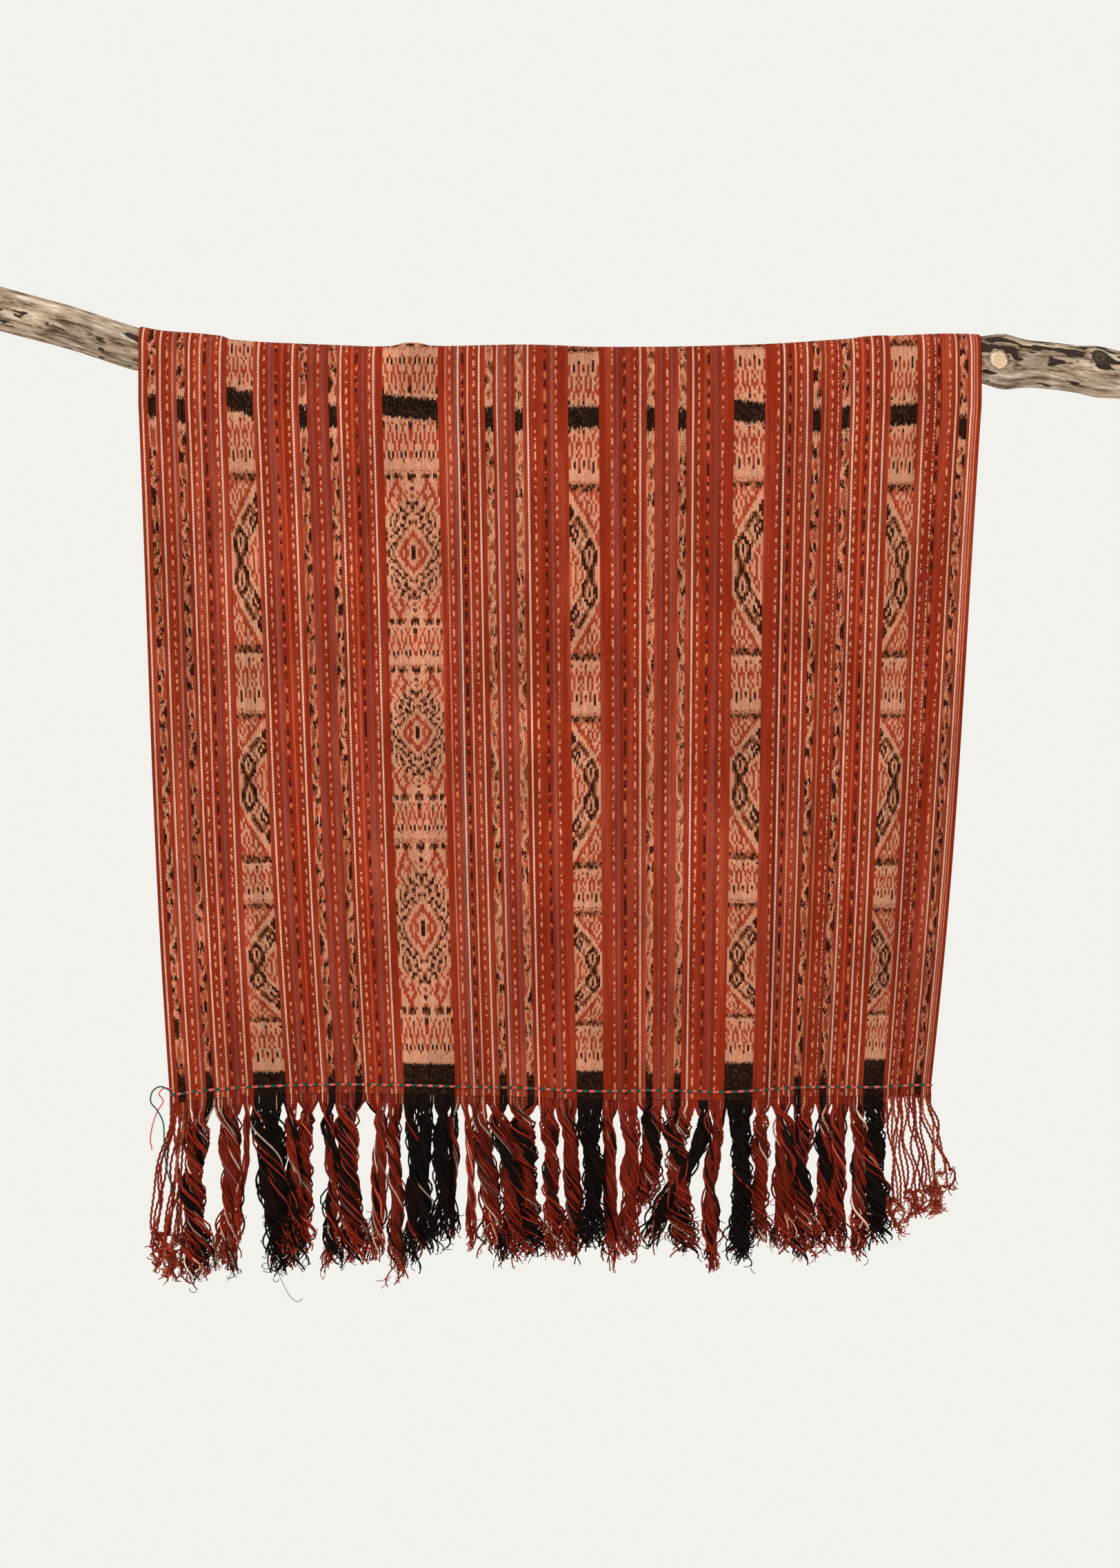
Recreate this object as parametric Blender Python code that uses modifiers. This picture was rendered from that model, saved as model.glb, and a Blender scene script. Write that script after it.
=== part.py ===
"""A warp ikat cloth folded over a driftwood branch, with twined ends and long uneven fringes.

Units are metres. +X runs along the branch, +Z is up and the cloth's front faces -Y. The origin is
on the branch's centre line, at the middle of the cloth. Tables are in millimetres.
"""

import math

import bmesh
import bpy
import numpy as np

MM = 0.001

# Branch: its centre line and radius, left to right
BRANCH_LINE = (
    # along, height, radius
    (-720, 82.5, 26.5),
    (-605, 52.7, 26.5),
    (-516, 22.9, 27.0),
    (-466, 15.3, 27.0),
    (-413, 9.3, 27.0),
    (-371, 6.0, 26.5),
    (-298, 2.5, 26.5),
    (-223, -1.7, 27.0),
    (-163, -1.7, 27.0),
    (-42, 1.3, 27.0),
    (48, -0.8, 26.5),
    (148, 0.4, 26.5),
    (268, 3.0, 27.0),
    (354, 8.1, 27.0),
    (429, 12.3, 27.5),
    (487, 14.4, 27.5),
    (525, 11.9, 28.0),
    (564, 7.6, 28.5),
    (602, 5.1, 28.5),
    (720, -11.0, 30.0),
)
BRANCH_KNOTS = (
    # along, half length, rise
    (-184, 26, 3.0),
    (549, 20, 5.0),
    (665, 18, 2.5),
)
BRANCH_SIDES = 16
BRANCH_OVALNESS = 0.8 * MM
BRANCH_TURN = 11.0  # radians that the oval turns in each metre
LINE_SOFTENING = 18 * MM
BARE_ENDS_LEFT = (-720, -672, -628, -590, -556)
BARE_ENDS_RIGHT = (533, 549, 565, 590, 628, 652, 665, 678, 700, 720)

# Cloth
CLOTH_THICK = 2.0 * MM
CLOTH_GAP = 0.5 * MM
COLUMNS = 38
FRONT_ROWS = 12
BACK_ROWS = 7
ARC_ROWS = BRANCH_SIDES // 2
BACK_HEM = -681 * MM
BACK_WAVE = 8 * MM
BACK_WAVE_LENGTH = 310 * MM
BACK_DRAW_IN = 0.85  # how much of the front's drawing in the back shows at its own hem
FREE_DROP = 45 * MM  # the cloth leaves the branch this far below its centre line
DRAW_IN_LAG = 0.08  # how far the sides lag behind a straight taper, as a share of it

# How the warp lines draw in between the branch and the front hem
WARP_LINES = (
    # on the branch, at the hem
    (-518, -480),
    (-410, -373),
    (-377, -339),
    (-218, -191),
    (-150, -128),
    (10, 21),
    (48, 53),
    (214, 201),
    (252, 235),
    (406, 371),
    (439, 396),
    (518, 458),
)
FRONT_HEM = (
    # along, height
    (-477, -895.0),
    (-440, -889.1),
    (-379, -884.0),
    (-326, -882.3),
    (-163, -882.3),
    (-71, -885.7),
    (0, -888.2),
    (96, -889.9),
    (201, -889.9),
    (275, -886.5),
    (375, -884.0),
    (452, -884.0),
)
FRONT_FOLDS = (
    # place on the branch, half width, rise at the hem, share of the drop where it starts
    (-500, 60, -6, 0.20),
    (-415, 75, 7, 0.10),
    (-290, 80, -9, 0.20),
    (-165, 75, 8, 0.15),
    (-60, 60, -9, 0.20),
    (30, 50, 13, 0.05),
    (125, 60, -13, 0.15),
    (228, 60, 14, 0.10),
    (325, 55, -9, 0.20),
    (415, 42, 12, 0.10),
    (518, 62, -20, 0.05),
)

# Twined rows, and the strip of bare warp that each fringe hangs from
TWINE_RADIUS = 2.2 * MM
SEAM_GAP = 0.3 * MM
STRIP_HEIGHT = 20 * MM
STRIP_THICK = 2.0 * MM
ROOT_DEPTH = 9 * MM  # how far a lock's root reaches up into the strip

# Fringe locks of the front, left to right
FRONT_LOCKS = (
    # top, root width, foot, tip, bow, stands forward
    (-445, 23, -443, -1124, -4, 2),
    (-406, 19, -404, -1113, 5, -3),
    (-383, 5, -397, -1072, 3, 6),
    (-360, 39, -338, -1113, -2, -4),
    (-333, 14, -330, -1094, 6, 10),
    (-308, 20, -315, -1092, -5, -4),
    (-287, 16, -281, -1110, 4, 3),
    (-261, 27, -252, -1103, -4, -2),
    (-223, 16, -229, -1103, 5, 3),
    (-202, 16, -198, -1122, -3, -3),
    (-184, 15, -181, -1105, 3, 4),
    (-164, 20, -164, -1089, -4, -2),
    (-145, 19, -147, -1076, 2, 5),
    (-129, 10, -132, -1074, -2, -4),
    (-116, 8, -110, -1084, 4, 7),
    (-102, 24, -84, -1090, 5, -2),
    (-79, 24, -63, -1112, 10, 7),
    (-45, 33, -37, -1108, -5, -4),
    (-16, 19, -8, -1097, 2, 5),
    (8, 24, 13, -1097, 6, -3),
    (37, 30, 39, -1081, 2, 3),
    (61, 15, 66, -1102, -3, -4),
    (83, 21, 82, -1093, 5, 2),
    (109, 26, 100, -1035, 9, -5),
    (148, 30, 153, -1090, -6, -2),
    (176, 14, 118, -1084, 12, 20),
    (194, 17, 186, -1110, -4, -4),
    (221, 31, 219, -1096, 3, 2),
    (248, 20, 246, -1078, -2, -4),
    (272, 24, 274, -1086, 3, 3),
    (299, 25, 300, -1098, -3, -2),
    (324, 18, 322, -1083, 3, 3),
    (344, 17, 343, -1088, -3, -4),
    (364, 17, 365, -1093, 3, 3),
    (388, 29, 388, -1076, -2, 0),
)
LOCK_LEAST_RADIUS = 2.2 * MM
LOCK_WIDTH_SHARE = 0.17
LOCK_WAVE = 2.0 * MM
# The course of a lock: share of its length, share of its full radius
LOCK_COURSE = ((0.0, 0.35), (0.1, 1.0), (0.36, 0.95), (0.62, 1.0), (0.85, 0.85), (1.0, 0.35))
STRING_RADIUS = 1.1 * MM
STRING_COURSE = ((0.0, 0.8), (0.2, 1.0), (0.5, 1.0), (0.8, 1.0), (1.0, 0.7))
STRING_GROUPS = (
    # first top, last top, first foot, last foot, first tip, last tip, count
    (-476, -459, -507, -466, -1092, -1108, 7),
    (407, 456, 409, 482, -1052, -1018, 11),
)
BACK_LOCKS = 30
BACK_LOCK_WIDTH = 20
BACK_LOCK_LENGTH = 195 * MM
BACK_LOCK_UNEVENNESS = 9 * MM
BACK_COURSE = ((0.0, 0.35), (0.14, 1.0), (0.55, 1.0), (1.0, 0.4))

# Colours and finish of each sub-part: colour, roughness
FINISHES = {
    "branch": ((0.42, 0.32, 0.23), 0.85),
    "cloth": ((0.36, 0.05, 0.025), 0.95),
    "front_twining": ((0.62, 0.13, 0.15), 0.9),
    "front_fringe": ((0.14, 0.025, 0.018), 0.95),
    "back_twining": ((0.62, 0.13, 0.15), 0.9),
    "back_fringe": ((0.14, 0.025, 0.018), 0.95),
}

WARP_ON_BRANCH, WARP_AT_HEM = np.array(WARP_LINES).T * MM
LEFT_EDGE, RIGHT_EDGE = WARP_ON_BRANCH[0], WARP_ON_BRANCH[-1]
HEM_ALONG, HEM_HEIGHT = np.array(FRONT_HEM).T * MM


def ease(share):
    """0 before the start, 1 past the end, and a smooth rise between."""
    share = min(max(share, 0.0), 1.0)
    return share * share * (3 - 2 * share)


def softened(along, table, column):
    """A table's column at a place along the branch, averaged over a short stretch around it."""
    rows = np.array(table, float) * MM
    around = along + LINE_SOFTENING * np.linspace(-1, 1, 5)
    return float(np.interp(around, rows[:, 0], rows[:, column]).mean())


def branch_height(along):
    return softened(along, BRANCH_LINE, 1)


def branch_radius(along, angle):
    """The branch's radius, with its knots, a little oval in a direction that turns along it."""
    knots = sum(
        rise * math.exp(-(((along / MM - place) / half) ** 2)) for place, half, rise in BRANCH_KNOTS
    )
    oval = BRANCH_OVALNESS * math.sin(2 * angle + BRANCH_TURN * along)
    return softened(along, BRANCH_LINE, 2) + knots * MM + oval


def warp_along(flat, drop):
    """Where a warp line hangs, from its place on the branch and its drop: 0 at the branch, 1 at the hem."""
    at_hem = float(np.interp(flat, WARP_ON_BRANCH, WARP_AT_HEM))
    share = drop - DRAW_IN_LAG * math.sin(math.pi * drop)
    return flat + (at_hem - flat) * share


def hem_height(flat):
    return float(np.interp(warp_along(flat, 1.0), HEM_ALONG, HEM_HEIGHT))


def front_rise(flat, drop):
    """How far the soft folds of the front lift a place towards the viewer."""
    rise = 0.0
    for place, half, height, start in FRONT_FOLDS:
        across = math.exp(-(((flat / MM - place) / half) ** 2))
        rise += height * MM * across * ease((drop - start) / (1 - start))
    return rise


def sheet_radius(flat, angle):
    """From the branch's centre line to the middle of the cloth that lies on it."""
    return branch_radius(flat, angle) + CLOTH_GAP + CLOTH_THICK / 2


def on_front(flat, height):
    drop = max(0.0, (-FREE_DROP - height) / (-FREE_DROP - hem_height(flat)))
    depth = -sheet_radius(flat, 0.0) - front_rise(flat, drop)
    return warp_along(flat, drop), depth, height


def on_back(flat, height):
    drop = max(0.0, (-FREE_DROP - height) / (-FREE_DROP - BACK_HEM))
    wave = BACK_WAVE * math.sin(2 * math.pi * flat / BACK_WAVE_LENGTH) * ease(drop)
    along = warp_along(flat, BACK_DRAW_IN * drop)
    return along, sheet_radius(flat, math.pi) + wave, height


def over_branch(flat, angle):
    radius = sheet_radius(flat, angle)
    return flat, -radius * math.cos(angle), branch_height(flat) + radius * math.sin(angle)


def flat_places():
    return np.linspace(LEFT_EDGE, RIGHT_EDGE, COLUMNS + 1)


def drape(across, row):
    """The cloth's middle surface: rows climb the front, cross the branch and go down the back."""
    flat = LEFT_EDGE + (RIGHT_EDGE - LEFT_EDGE) * across
    top = branch_height(flat)
    if row <= FRONT_ROWS:
        edge = hem_height(flat) + TWINE_RADIUS + SEAM_GAP
        return on_front(flat, edge + (top - edge) * row / FRONT_ROWS)
    if row <= FRONT_ROWS + ARC_ROWS:
        return over_branch(flat, math.pi * (row - FRONT_ROWS) / ARC_ROWS)
    edge = BACK_HEM + TWINE_RADIUS + SEAM_GAP
    return on_back(flat, top + (edge - top) * (row - FRONT_ROWS - ARC_ROWS) / BACK_ROWS)


def clear_scene():
    for old in list(bpy.data.objects):
        bpy.data.objects.remove(old, do_unlink=True)


def make_collection(name, helpers=False):
    made = bpy.data.collections.new(name)
    bpy.context.scene.collection.children.link(made)
    made.hide_render = helpers
    return made


def finish(made):
    """Gives a sub-part the material that goes with its name."""
    colour, roughness = FINISHES[made.name]
    material = bpy.data.materials.new(made.name)
    material.use_nodes = True
    shader = material.node_tree.nodes["Principled BSDF"]
    shader.inputs["Base Color"].default_value = (*colour, 1.0)
    shader.inputs["Roughness"].default_value = roughness
    shader.inputs["Metallic"].default_value = 0.0
    made.data.materials.clear()
    made.data.materials.append(material)


def shaped_grid(name, collection, columns, rows, place):
    """A grid whose points are moved to place(column, row), as a new object."""
    shape = bmesh.new()
    bmesh.ops.create_grid(shape, x_segments=columns, y_segments=rows, size=1.0)
    for point in shape.verts:
        column = round((point.co.x + 1) / 2 * columns)
        row = round((point.co.y + 1) / 2 * rows)
        point.co = place(column, row)
    mesh = bpy.data.meshes.new(name)
    shape.to_mesh(mesh)
    shape.free()
    made = bpy.data.objects.new(name, mesh)
    collection.objects.link(made)
    return made


def thicken(made, thickness):
    solid = made.modifiers.new("Thickness", "SOLIDIFY")
    solid.thickness = thickness
    solid.offset = 0.0
    solid.use_even_offset = True


def make_branch(collection):
    """Rings at the cloth's own columns, so that the cloth keeps an even gap, and more on the bare ends."""
    under_cloth = list(flat_places())
    rings = [a * MM for a in BARE_ENDS_LEFT] + under_cloth + [a * MM for a in BARE_ENDS_RIGHT]

    def place(ring, side):
        along = rings[ring]
        angle = 2 * math.pi * side / BRANCH_SIDES
        radius = branch_radius(along, angle)
        return along, -radius * math.cos(angle), branch_height(along) + radius * math.sin(angle)

    made = shaped_grid("branch", collection, len(rings) - 1, BRANCH_SIDES, place)
    shape = bmesh.new()
    shape.from_mesh(made.data)
    bmesh.ops.remove_doubles(shape, verts=shape.verts, dist=0.01 * MM)
    bmesh.ops.holes_fill(shape, edges=[e for e in shape.edges if e.is_boundary], sides=BRANCH_SIDES)
    bmesh.ops.recalc_face_normals(shape, faces=shape.faces)
    shape.to_mesh(made.data)
    shape.free()
    made.data.shade_smooth()
    finish(made)


def make_cloth(collection):
    rows = FRONT_ROWS + ARC_ROWS + BACK_ROWS
    made = shaped_grid(
        "cloth", collection, COLUMNS, rows, lambda column, row: drape(column / COLUMNS, row)
    )
    thicken(made, CLOTH_THICK)
    made.data.shade_smooth()
    finish(made)


def add_strand(curve, points, radii):
    strand = curve.splines.new("POLY")
    strand.points.add(len(points) - 1)
    for point, place, radius in zip(strand.points, points, radii):
        point.co = (*place, 1.0)
        point.radius = radius


def new_curve(name, collection, roundness):
    """A curve whose points carry their own radius, with 4 sides, or 2 more for each step of roundness."""
    curve = bpy.data.curves.new(name, "CURVE")
    curve.dimensions = "3D"
    curve.bevel_depth = 1.0
    curve.bevel_resolution = roundness
    curve.use_fill_caps = True
    made = bpy.data.objects.new(name, curve)
    collection.objects.link(made)
    return made


def meshed(made, collection):
    """The curve's mesh, with its caps welded, as a new object in its place."""
    bpy.context.view_layer.update()
    graph = bpy.context.evaluated_depsgraph_get()
    name = made.name
    mesh = bpy.data.meshes.new_from_object(made.evaluated_get(graph))
    shape = bmesh.new()
    shape.from_mesh(mesh)
    bmesh.ops.remove_doubles(shape, verts=shape.verts, dist=0.01 * MM)
    bmesh.ops.recalc_face_normals(shape, faces=shape.faces)
    shape.to_mesh(mesh)
    shape.free()
    bpy.data.objects.remove(made, do_unlink=True)
    solid = bpy.data.objects.new(name, mesh)
    collection.objects.link(solid)
    return solid


def make_twining(name, collection, hem):
    """The twined row, a thin roll along the hem. hem(flat) is a point of its centre line."""
    made = new_curve(name, collection, 1)
    points = [hem(flat) for flat in flat_places()]
    add_strand(made.data, points, [TWINE_RADIUS] * len(points))
    finish(meshed(made, collection))


def strand_points(root, foot, bow, forward, wave, phase, course):
    """A strand's line: it eases from root to foot, bows sideways, stands forward and waves a little."""
    points = []
    for share, _ in course:
        swing = math.sin(math.pi * share)
        ripple = wave * swing * math.sin(9 * share + phase)
        along = root[0] + (foot[0] - root[0]) * ease(share) + bow * swing + ripple
        depth = root[1] - forward * math.sin(math.pi / 2 * share) + ripple / 2
        points.append((along, depth, root[2] + (foot[1] - root[2]) * share))
    return points


def make_fringe(name, collection, helpers, strip_place, add_strands):
    """A strip of bare warp with every strand's root joined into it."""
    strip = shaped_grid(name, collection, COLUMNS, 1, strip_place)
    thicken(strip, STRIP_THICK)
    strands = new_curve(name + "_strands", helpers, 0)
    add_strands(strands.data)
    strands = meshed(strands, helpers)
    strands.hide_render = True
    strands.display_type = "WIRE"
    join = strip.modifiers.new("Strands", "BOOLEAN")
    join.operation = "UNION"
    join.solver = "EXACT"
    join.object = strands
    finish(strip)


def front_hem(flat):
    return on_front(flat, hem_height(flat))


def back_hem(flat):
    return on_back(flat, BACK_HEM)


def strip_below(hem):
    """Places of a strip that hangs just under a twined row."""

    def place(column, row):
        along, depth, height = hem(flat_places()[column])
        lowered = TWINE_RADIUS + SEAM_GAP + (0.0 if row else STRIP_HEIGHT)
        return along, depth, height - lowered

    return place


def root_under(hem, flat):
    along, depth, height = hem(flat)
    return along, depth, height - TWINE_RADIUS - SEAM_GAP - STRIP_HEIGHT + ROOT_DEPTH


def front_root(along):
    """The root of the strand that leaves the front hem at this place along it."""
    return root_under(front_hem, float(np.interp(along, WARP_AT_HEM, WARP_ON_BRANCH)))


def add_front_strands(curve):
    for number, (top, width, foot, tip, bow, forward) in enumerate(FRONT_LOCKS):
        radius = LOCK_LEAST_RADIUS + LOCK_WIDTH_SHARE * width * MM
        points = strand_points(
            front_root(top * MM), (foot * MM, tip * MM), bow * MM, forward * MM,
            LOCK_WAVE, 1.7 * number, LOCK_COURSE,
        )
        add_strand(curve, points, [radius * share for _, share in LOCK_COURSE])
    for first, last, first_foot, last_foot, first_tip, last_tip, count in STRING_GROUPS:
        for number in range(count):
            share = number / (count - 1)
            top, foot, tip = (
                a + (b - a) * share
                for a, b in ((first, last), (first_foot, last_foot), (first_tip, last_tip))
            )
            points = strand_points(
                front_root(top * MM), (foot * MM, tip * MM), 0.0, (-3, 3)[number % 2] * MM,
                LOCK_WAVE, 2.3 * number, STRING_COURSE,
            )
            add_strand(curve, points, [STRING_RADIUS * share for _, share in STRING_COURSE])


def add_back_strands(curve):
    radius = LOCK_LEAST_RADIUS + LOCK_WIDTH_SHARE * BACK_LOCK_WIDTH * MM
    for number in range(BACK_LOCKS):
        flat = LEFT_EDGE + (RIGHT_EDGE - LEFT_EDGE) * (number + 0.5) / BACK_LOCKS
        root = root_under(back_hem, flat)
        length = BACK_LOCK_LENGTH + BACK_LOCK_UNEVENNESS * math.sin(5 * number)
        foot = (root[0] + LOCK_WAVE * math.sin(3 * number), root[2] - length)
        points = strand_points(root, foot, 0.0, 0.0, LOCK_WAVE, 1.3 * number, BACK_COURSE)
        add_strand(curve, points, [radius * share for _, share in BACK_COURSE])


def main():
    clear_scene()
    collection = make_collection("ikat cloth on branch")
    helpers = make_collection("joined strands", helpers=True)
    make_branch(collection)
    make_cloth(collection)
    make_twining("front_twining", collection, front_hem)
    make_fringe("front_fringe", collection, helpers, strip_below(front_hem), add_front_strands)
    make_twining("back_twining", collection, back_hem)
    make_fringe("back_fringe", collection, helpers, strip_below(back_hem), add_back_strands)


main()
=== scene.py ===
"""Warp ikat cloth folded over a driftwood branch, with twined ends and long twisted fringes.

Run as a script. Lengths in the tables are millimetres, everything else is metres. +X runs along the
branch, +Z is up, and the cloth's front faces -Y.
"""

import math

import bpy
import numpy as np
from bpy.props import FloatProperty, FloatVectorProperty, IntProperty, PointerProperty
from bpy.types import Operator, Panel, PropertyGroup
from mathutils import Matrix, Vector


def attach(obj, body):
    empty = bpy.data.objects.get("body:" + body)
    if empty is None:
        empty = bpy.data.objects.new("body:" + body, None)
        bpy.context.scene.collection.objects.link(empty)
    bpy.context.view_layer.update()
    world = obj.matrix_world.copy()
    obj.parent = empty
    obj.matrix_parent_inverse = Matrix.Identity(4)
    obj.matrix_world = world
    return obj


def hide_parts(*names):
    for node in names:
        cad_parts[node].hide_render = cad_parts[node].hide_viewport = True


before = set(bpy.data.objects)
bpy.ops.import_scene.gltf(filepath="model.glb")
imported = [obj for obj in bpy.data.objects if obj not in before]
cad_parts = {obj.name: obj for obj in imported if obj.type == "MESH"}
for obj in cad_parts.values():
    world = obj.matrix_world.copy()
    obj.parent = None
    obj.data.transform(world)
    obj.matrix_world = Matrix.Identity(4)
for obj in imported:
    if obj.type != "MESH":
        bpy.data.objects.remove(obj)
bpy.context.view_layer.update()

bl_info = {
    "name": "Ikat cloth on a branch",
    "version": (1, 0, 0),
    "blender": (4, 5, 0),
    "location": "3D View > Sidebar > Ikat cloth",
    "description": "A striped warp ikat cloth folded over a driftwood branch",
    "category": "Mesh",
}

MM = 0.001

# The photograph: metres to a pixel, its rows, the row at its middle and the row at height 0
PIXEL = 0.85 * MM
PHOTO_ROWS = 2274
MIDDLE_ROW = 1137
ZERO_ROW = 534

# The branch: along, height, radius
BRANCH_LINE = (
    (-720, 82.5, 26.5), (-605, 52.7, 26.5), (-516, 22.9, 27.0), (-466, 15.3, 27.0),
    (-413, 9.3, 27.0), (-371, 6.0, 26.5), (-298, 2.5, 26.5), (-223, -1.7, 27.0),
    (-163, -1.7, 27.0), (-42, 1.3, 27.0), (48, -0.8, 26.5), (148, 0.4, 26.5),
    (268, 3.0, 27.0), (354, 8.1, 27.0), (429, 12.3, 27.5), (487, 14.4, 27.5),
    (525, 11.9, 28.0), (564, 7.6, 28.5), (602, 5.1, 28.5), (720, -11.0, 30.0),
)
# Swellings of the branch: along, half length, rise
BRANCH_KNOTS = ((-184, 26, 3.0), (549, 20, 5.0), (665, 18, 2.5))
# The branch's cross-section is a little oval, in a direction that turns along it
BRANCH_OVALNESS = 0.8 * MM
BRANCH_TURN = 11.0
LINE_SOFTENING = 18 * MM

# The drape: a warp line's place on the branch and at the hem
WARP_LINES = (
    (-518, -480), (-410, -376), (-377, -336), (-218, -191), (-150, -128), (10, 21),
    (48, 53), (214, 201), (252, 235), (406, 371), (439, 396), (518, 458),
)
FRONT_HEM = (
    (-477, -895.0), (-440, -889.1), (-379, -884.0), (-326, -882.3), (-163, -882.3),
    (-71, -885.7), (0, -888.2), (96, -889.9), (201, -889.9), (275, -886.5), (375, -884.0),
    (452, -884.0),
)
# Soft folds: place on the branch, half width, rise at the hem, share of the drop where it starts
FRONT_FOLDS = (
    (-500, 60, -6, 0.20), (-415, 75, 7, 0.10), (-290, 80, -9, 0.20), (-165, 75, 8, 0.15),
    (-60, 60, -9, 0.20), (30, 50, 13, 0.05), (125, 60, -13, 0.15), (228, 60, 14, 0.10),
    (325, 55, -9, 0.20), (415, 42, 12, 0.10), (518, 62, -20, 0.05),
)
# Small creases: place on the branch, half width, height, half height, rise
SMALL_CREASES = (
    (-470, 9, -330, 210, -1.6), (-352, 12, -520, 260, 1.5), (-246, 8, -250, 150, -1.2),
    (-120, 11, -640, 190, 1.6), (-28, 9, -300, 230, -1.4), (92, 10, -560, 250, 1.7),
    (176, 8, -210, 120, -1.3), (268, 10, -480, 240, -1.6), (372, 9, -690, 180, 1.5),
    (462, 11, -380, 260, 1.8),
)
# Swells of the cloth over the branch: left start, left full, right full, right end, rise
SWELLS = ((-500, -440, -418, -409, 3.2), (-206, -193, -176, -162, 2.2), (356, 380, 396, 412, 1.6))
SWELL_DROP = 130 * MM
# The hidden back layer: its hem, one even wave, and its share of the front's drawing in
BACK_HEM = -681 * MM
BACK_WAVE = 8 * MM
BACK_WAVE_LENGTH = 310 * MM
BACK_DRAW_IN = 0.85
# The drop at which folds start, and how the drawing in lags behind the drop
FREE_DROP = 45 * MM
DRAW_IN_LAG = 0.1
DRAW_IN_BEND = 1.6
CLOTH_GAP = 0.5 * MM
CLOTH_THICK = 2.0 * MM
# The small creases fade out over this drop
CREASE_FADE = 60 * MM
# Shares of the thickness left at the selvedges and at the woven ends
SELVEDGE_SHARE = 0.3
END_SHARE = 0.4
SELVEDGE = 518 * MM
MID_HEIGHT = -57.8 * MM
# How far the weave goes past the hem, how uneven its ends are, and how far the yarns reach into it
WOVEN_END = 14 * MM
RAGGED = 2.5
ROOT_HIDDEN = 3 * MM
# Distance between warp threads and between weft picks
THREAD = 1.25 * MM
WEFT = 1.7 * MM

# Warp stripes: kind and distance of the middle from the left selvedge
STRIPES = (
    "white 5.1, ikat 16.5, white 26.7, dots 35.2, greymauve 42, ikat 52.2, white 62.4, dots 69.2, "
    "pinkwhite 75.6, dark 81.5, mauve 88.7, dots 95.5, white 100.2, white 147.1, dots 154.2, "
    "mauve 161, dark 168.6, pink 175.9, dots 183.9, white 189, ikat 201.8, mauve 212.8, dots 220.5, "
    "mauve 227.3, ikat 238.3, white 248.1, dots 255.3, pink 262.1, dark 267.7, mauve 275.7, "
    "dots 283.4, white 288.5, thinpink 376.9, dots 382, mauve 388.8, white 392.2, dark 397.7, "
    "pinkwhite 404.1, dots 411.7, white 418.1, ikat 430.4, pinkwhite 440.2, mauve 443.6, dots 450, "
    "mauve 456.8, ikat 467, white 478, dots 486.5, dark 499.3, mauve 506.9, dots 512.9, "
    "dots 581.7, mauve 588.5, dark 597, dots 609.8, white 616.6, ikat 629.3, mauve 642.1, "
    "dots 649.7, mauve 655.7, ikat 668.4, white 681.7, dots 688.8, dark 700.7, mauve 710.6, "
    "dots 718.6, dots 786.6, darkline 790.8, white 794.2, dark 801, peach 807.8, dots 814.6, "
    "white 822.3, ikat 834.2, tan 844.4, dots 852.9, ticks 860.1, ikat 869.9, white 879.2, "
    "dots 883.5, pink 890.3, dark 896.2, white 902.2, dots 909, white 916.2, white 965.1, "
    "dots 971, ticks 979.5, dark 983.8, dots 997.4, white 1005, ikat 1014.4, white 1023.7, "
    "thinpink 1027.1, thinpink 1030.5"
)
# The phase of the spots moves on by this share of a repeat from stripe to stripe
PHASE_STEP = 0.37
# Each kind of stripe: width, finish, colour
STRIPE_KINDS = {
    "white": (2.1, "corded", (236, 206, 180)),
    "pinkwhite": (2.1, "corded", (236, 178, 152)),
    "greymauve": (2.6, "corded", (180, 128, 112)),
    "peach": (2.2, "corded", (226, 156, 122)),
    "tan": (2.0, "corded", (186, 132, 100)),
    "mauve": (3.0, "plain", (136, 74, 66)),
    "pink": (2.3, "corded", (206, 86, 56)),
    "thinpink": (1.7, "corded", (222, 134, 106)),
    "darkline": (1.8, "plain", (96, 36, 28)),
    "dots": (2.7, "dots", (150, 42, 20)),
    "ticks": (1.5, "ticks", (150, 42, 20)),
    "dark": (3.4, "dark dots", (128, 38, 20)),
    "ikat": (9.8, "small ikat", (150, 42, 20)),
}
# Distance of each small ikat's black middle below the cloth's mid-line
IKAT_MIDDLES = (-10, -5, 4, 3, 6, 8, 7, 8, 8, 5, 16)

# Ikat bands: left and right edge, side of the symmetry line, black middle at the left and right
# edge. Then, from the black middle down: the first spikes' start, and for each lozenge its dark
# row's start, centre and dark row's end. Last the end of the last spikes.
BANDS = (
    (108.3, 140.6, "right", -22, -9, 14, 88, 196, 309, 383, 465, 567, 616, 697, 762, 819),
    (299.5, 367.5, "middle", -11, -4, 12, 79, 179, 267, 318, 399, 482, 533, 639, 745, 801),
    (527.8, 565.9, "left", 4, 4, 10, 82, 194, 299, 367, 456, 555, 606, 680, 747, 798),
    (732.2, 770.4, "right", -4, -1, 12, 83, 192, 300, 370, 451, 550, 601, 683, 744, 794),
    (924.3, 957.4, "left", 2, 0, 12, 85, 195, 299, 366, 450, 554, 604, 681, 737, 787),
)
# Half heights of the black middles, and where the small ikat stripes end in black
BLACK_HALF = 13.6
SMALL_BLACK_HALF = 15.2
SMALL_END = 811
SOFT_EDGE = 1.6 * MM
# Unevenness from thread to thread: of the spots, of the small ikats' chart, black middle and ends,
# and of the bands' chart and black middle
DOT_JITTER = 7 * MM
SMALL_JITTER = (8 * MM, 10 * MM, 14 * MM)
BAND_JITTER = (4 * MM, 6 * MM)
# How quickly and how far a repeat's length wanders, of the spots and of the small ikats
DOT_WANDER = (34.0, 1.7)
SMALL_WANDER = (17.0, 0.5)
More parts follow.
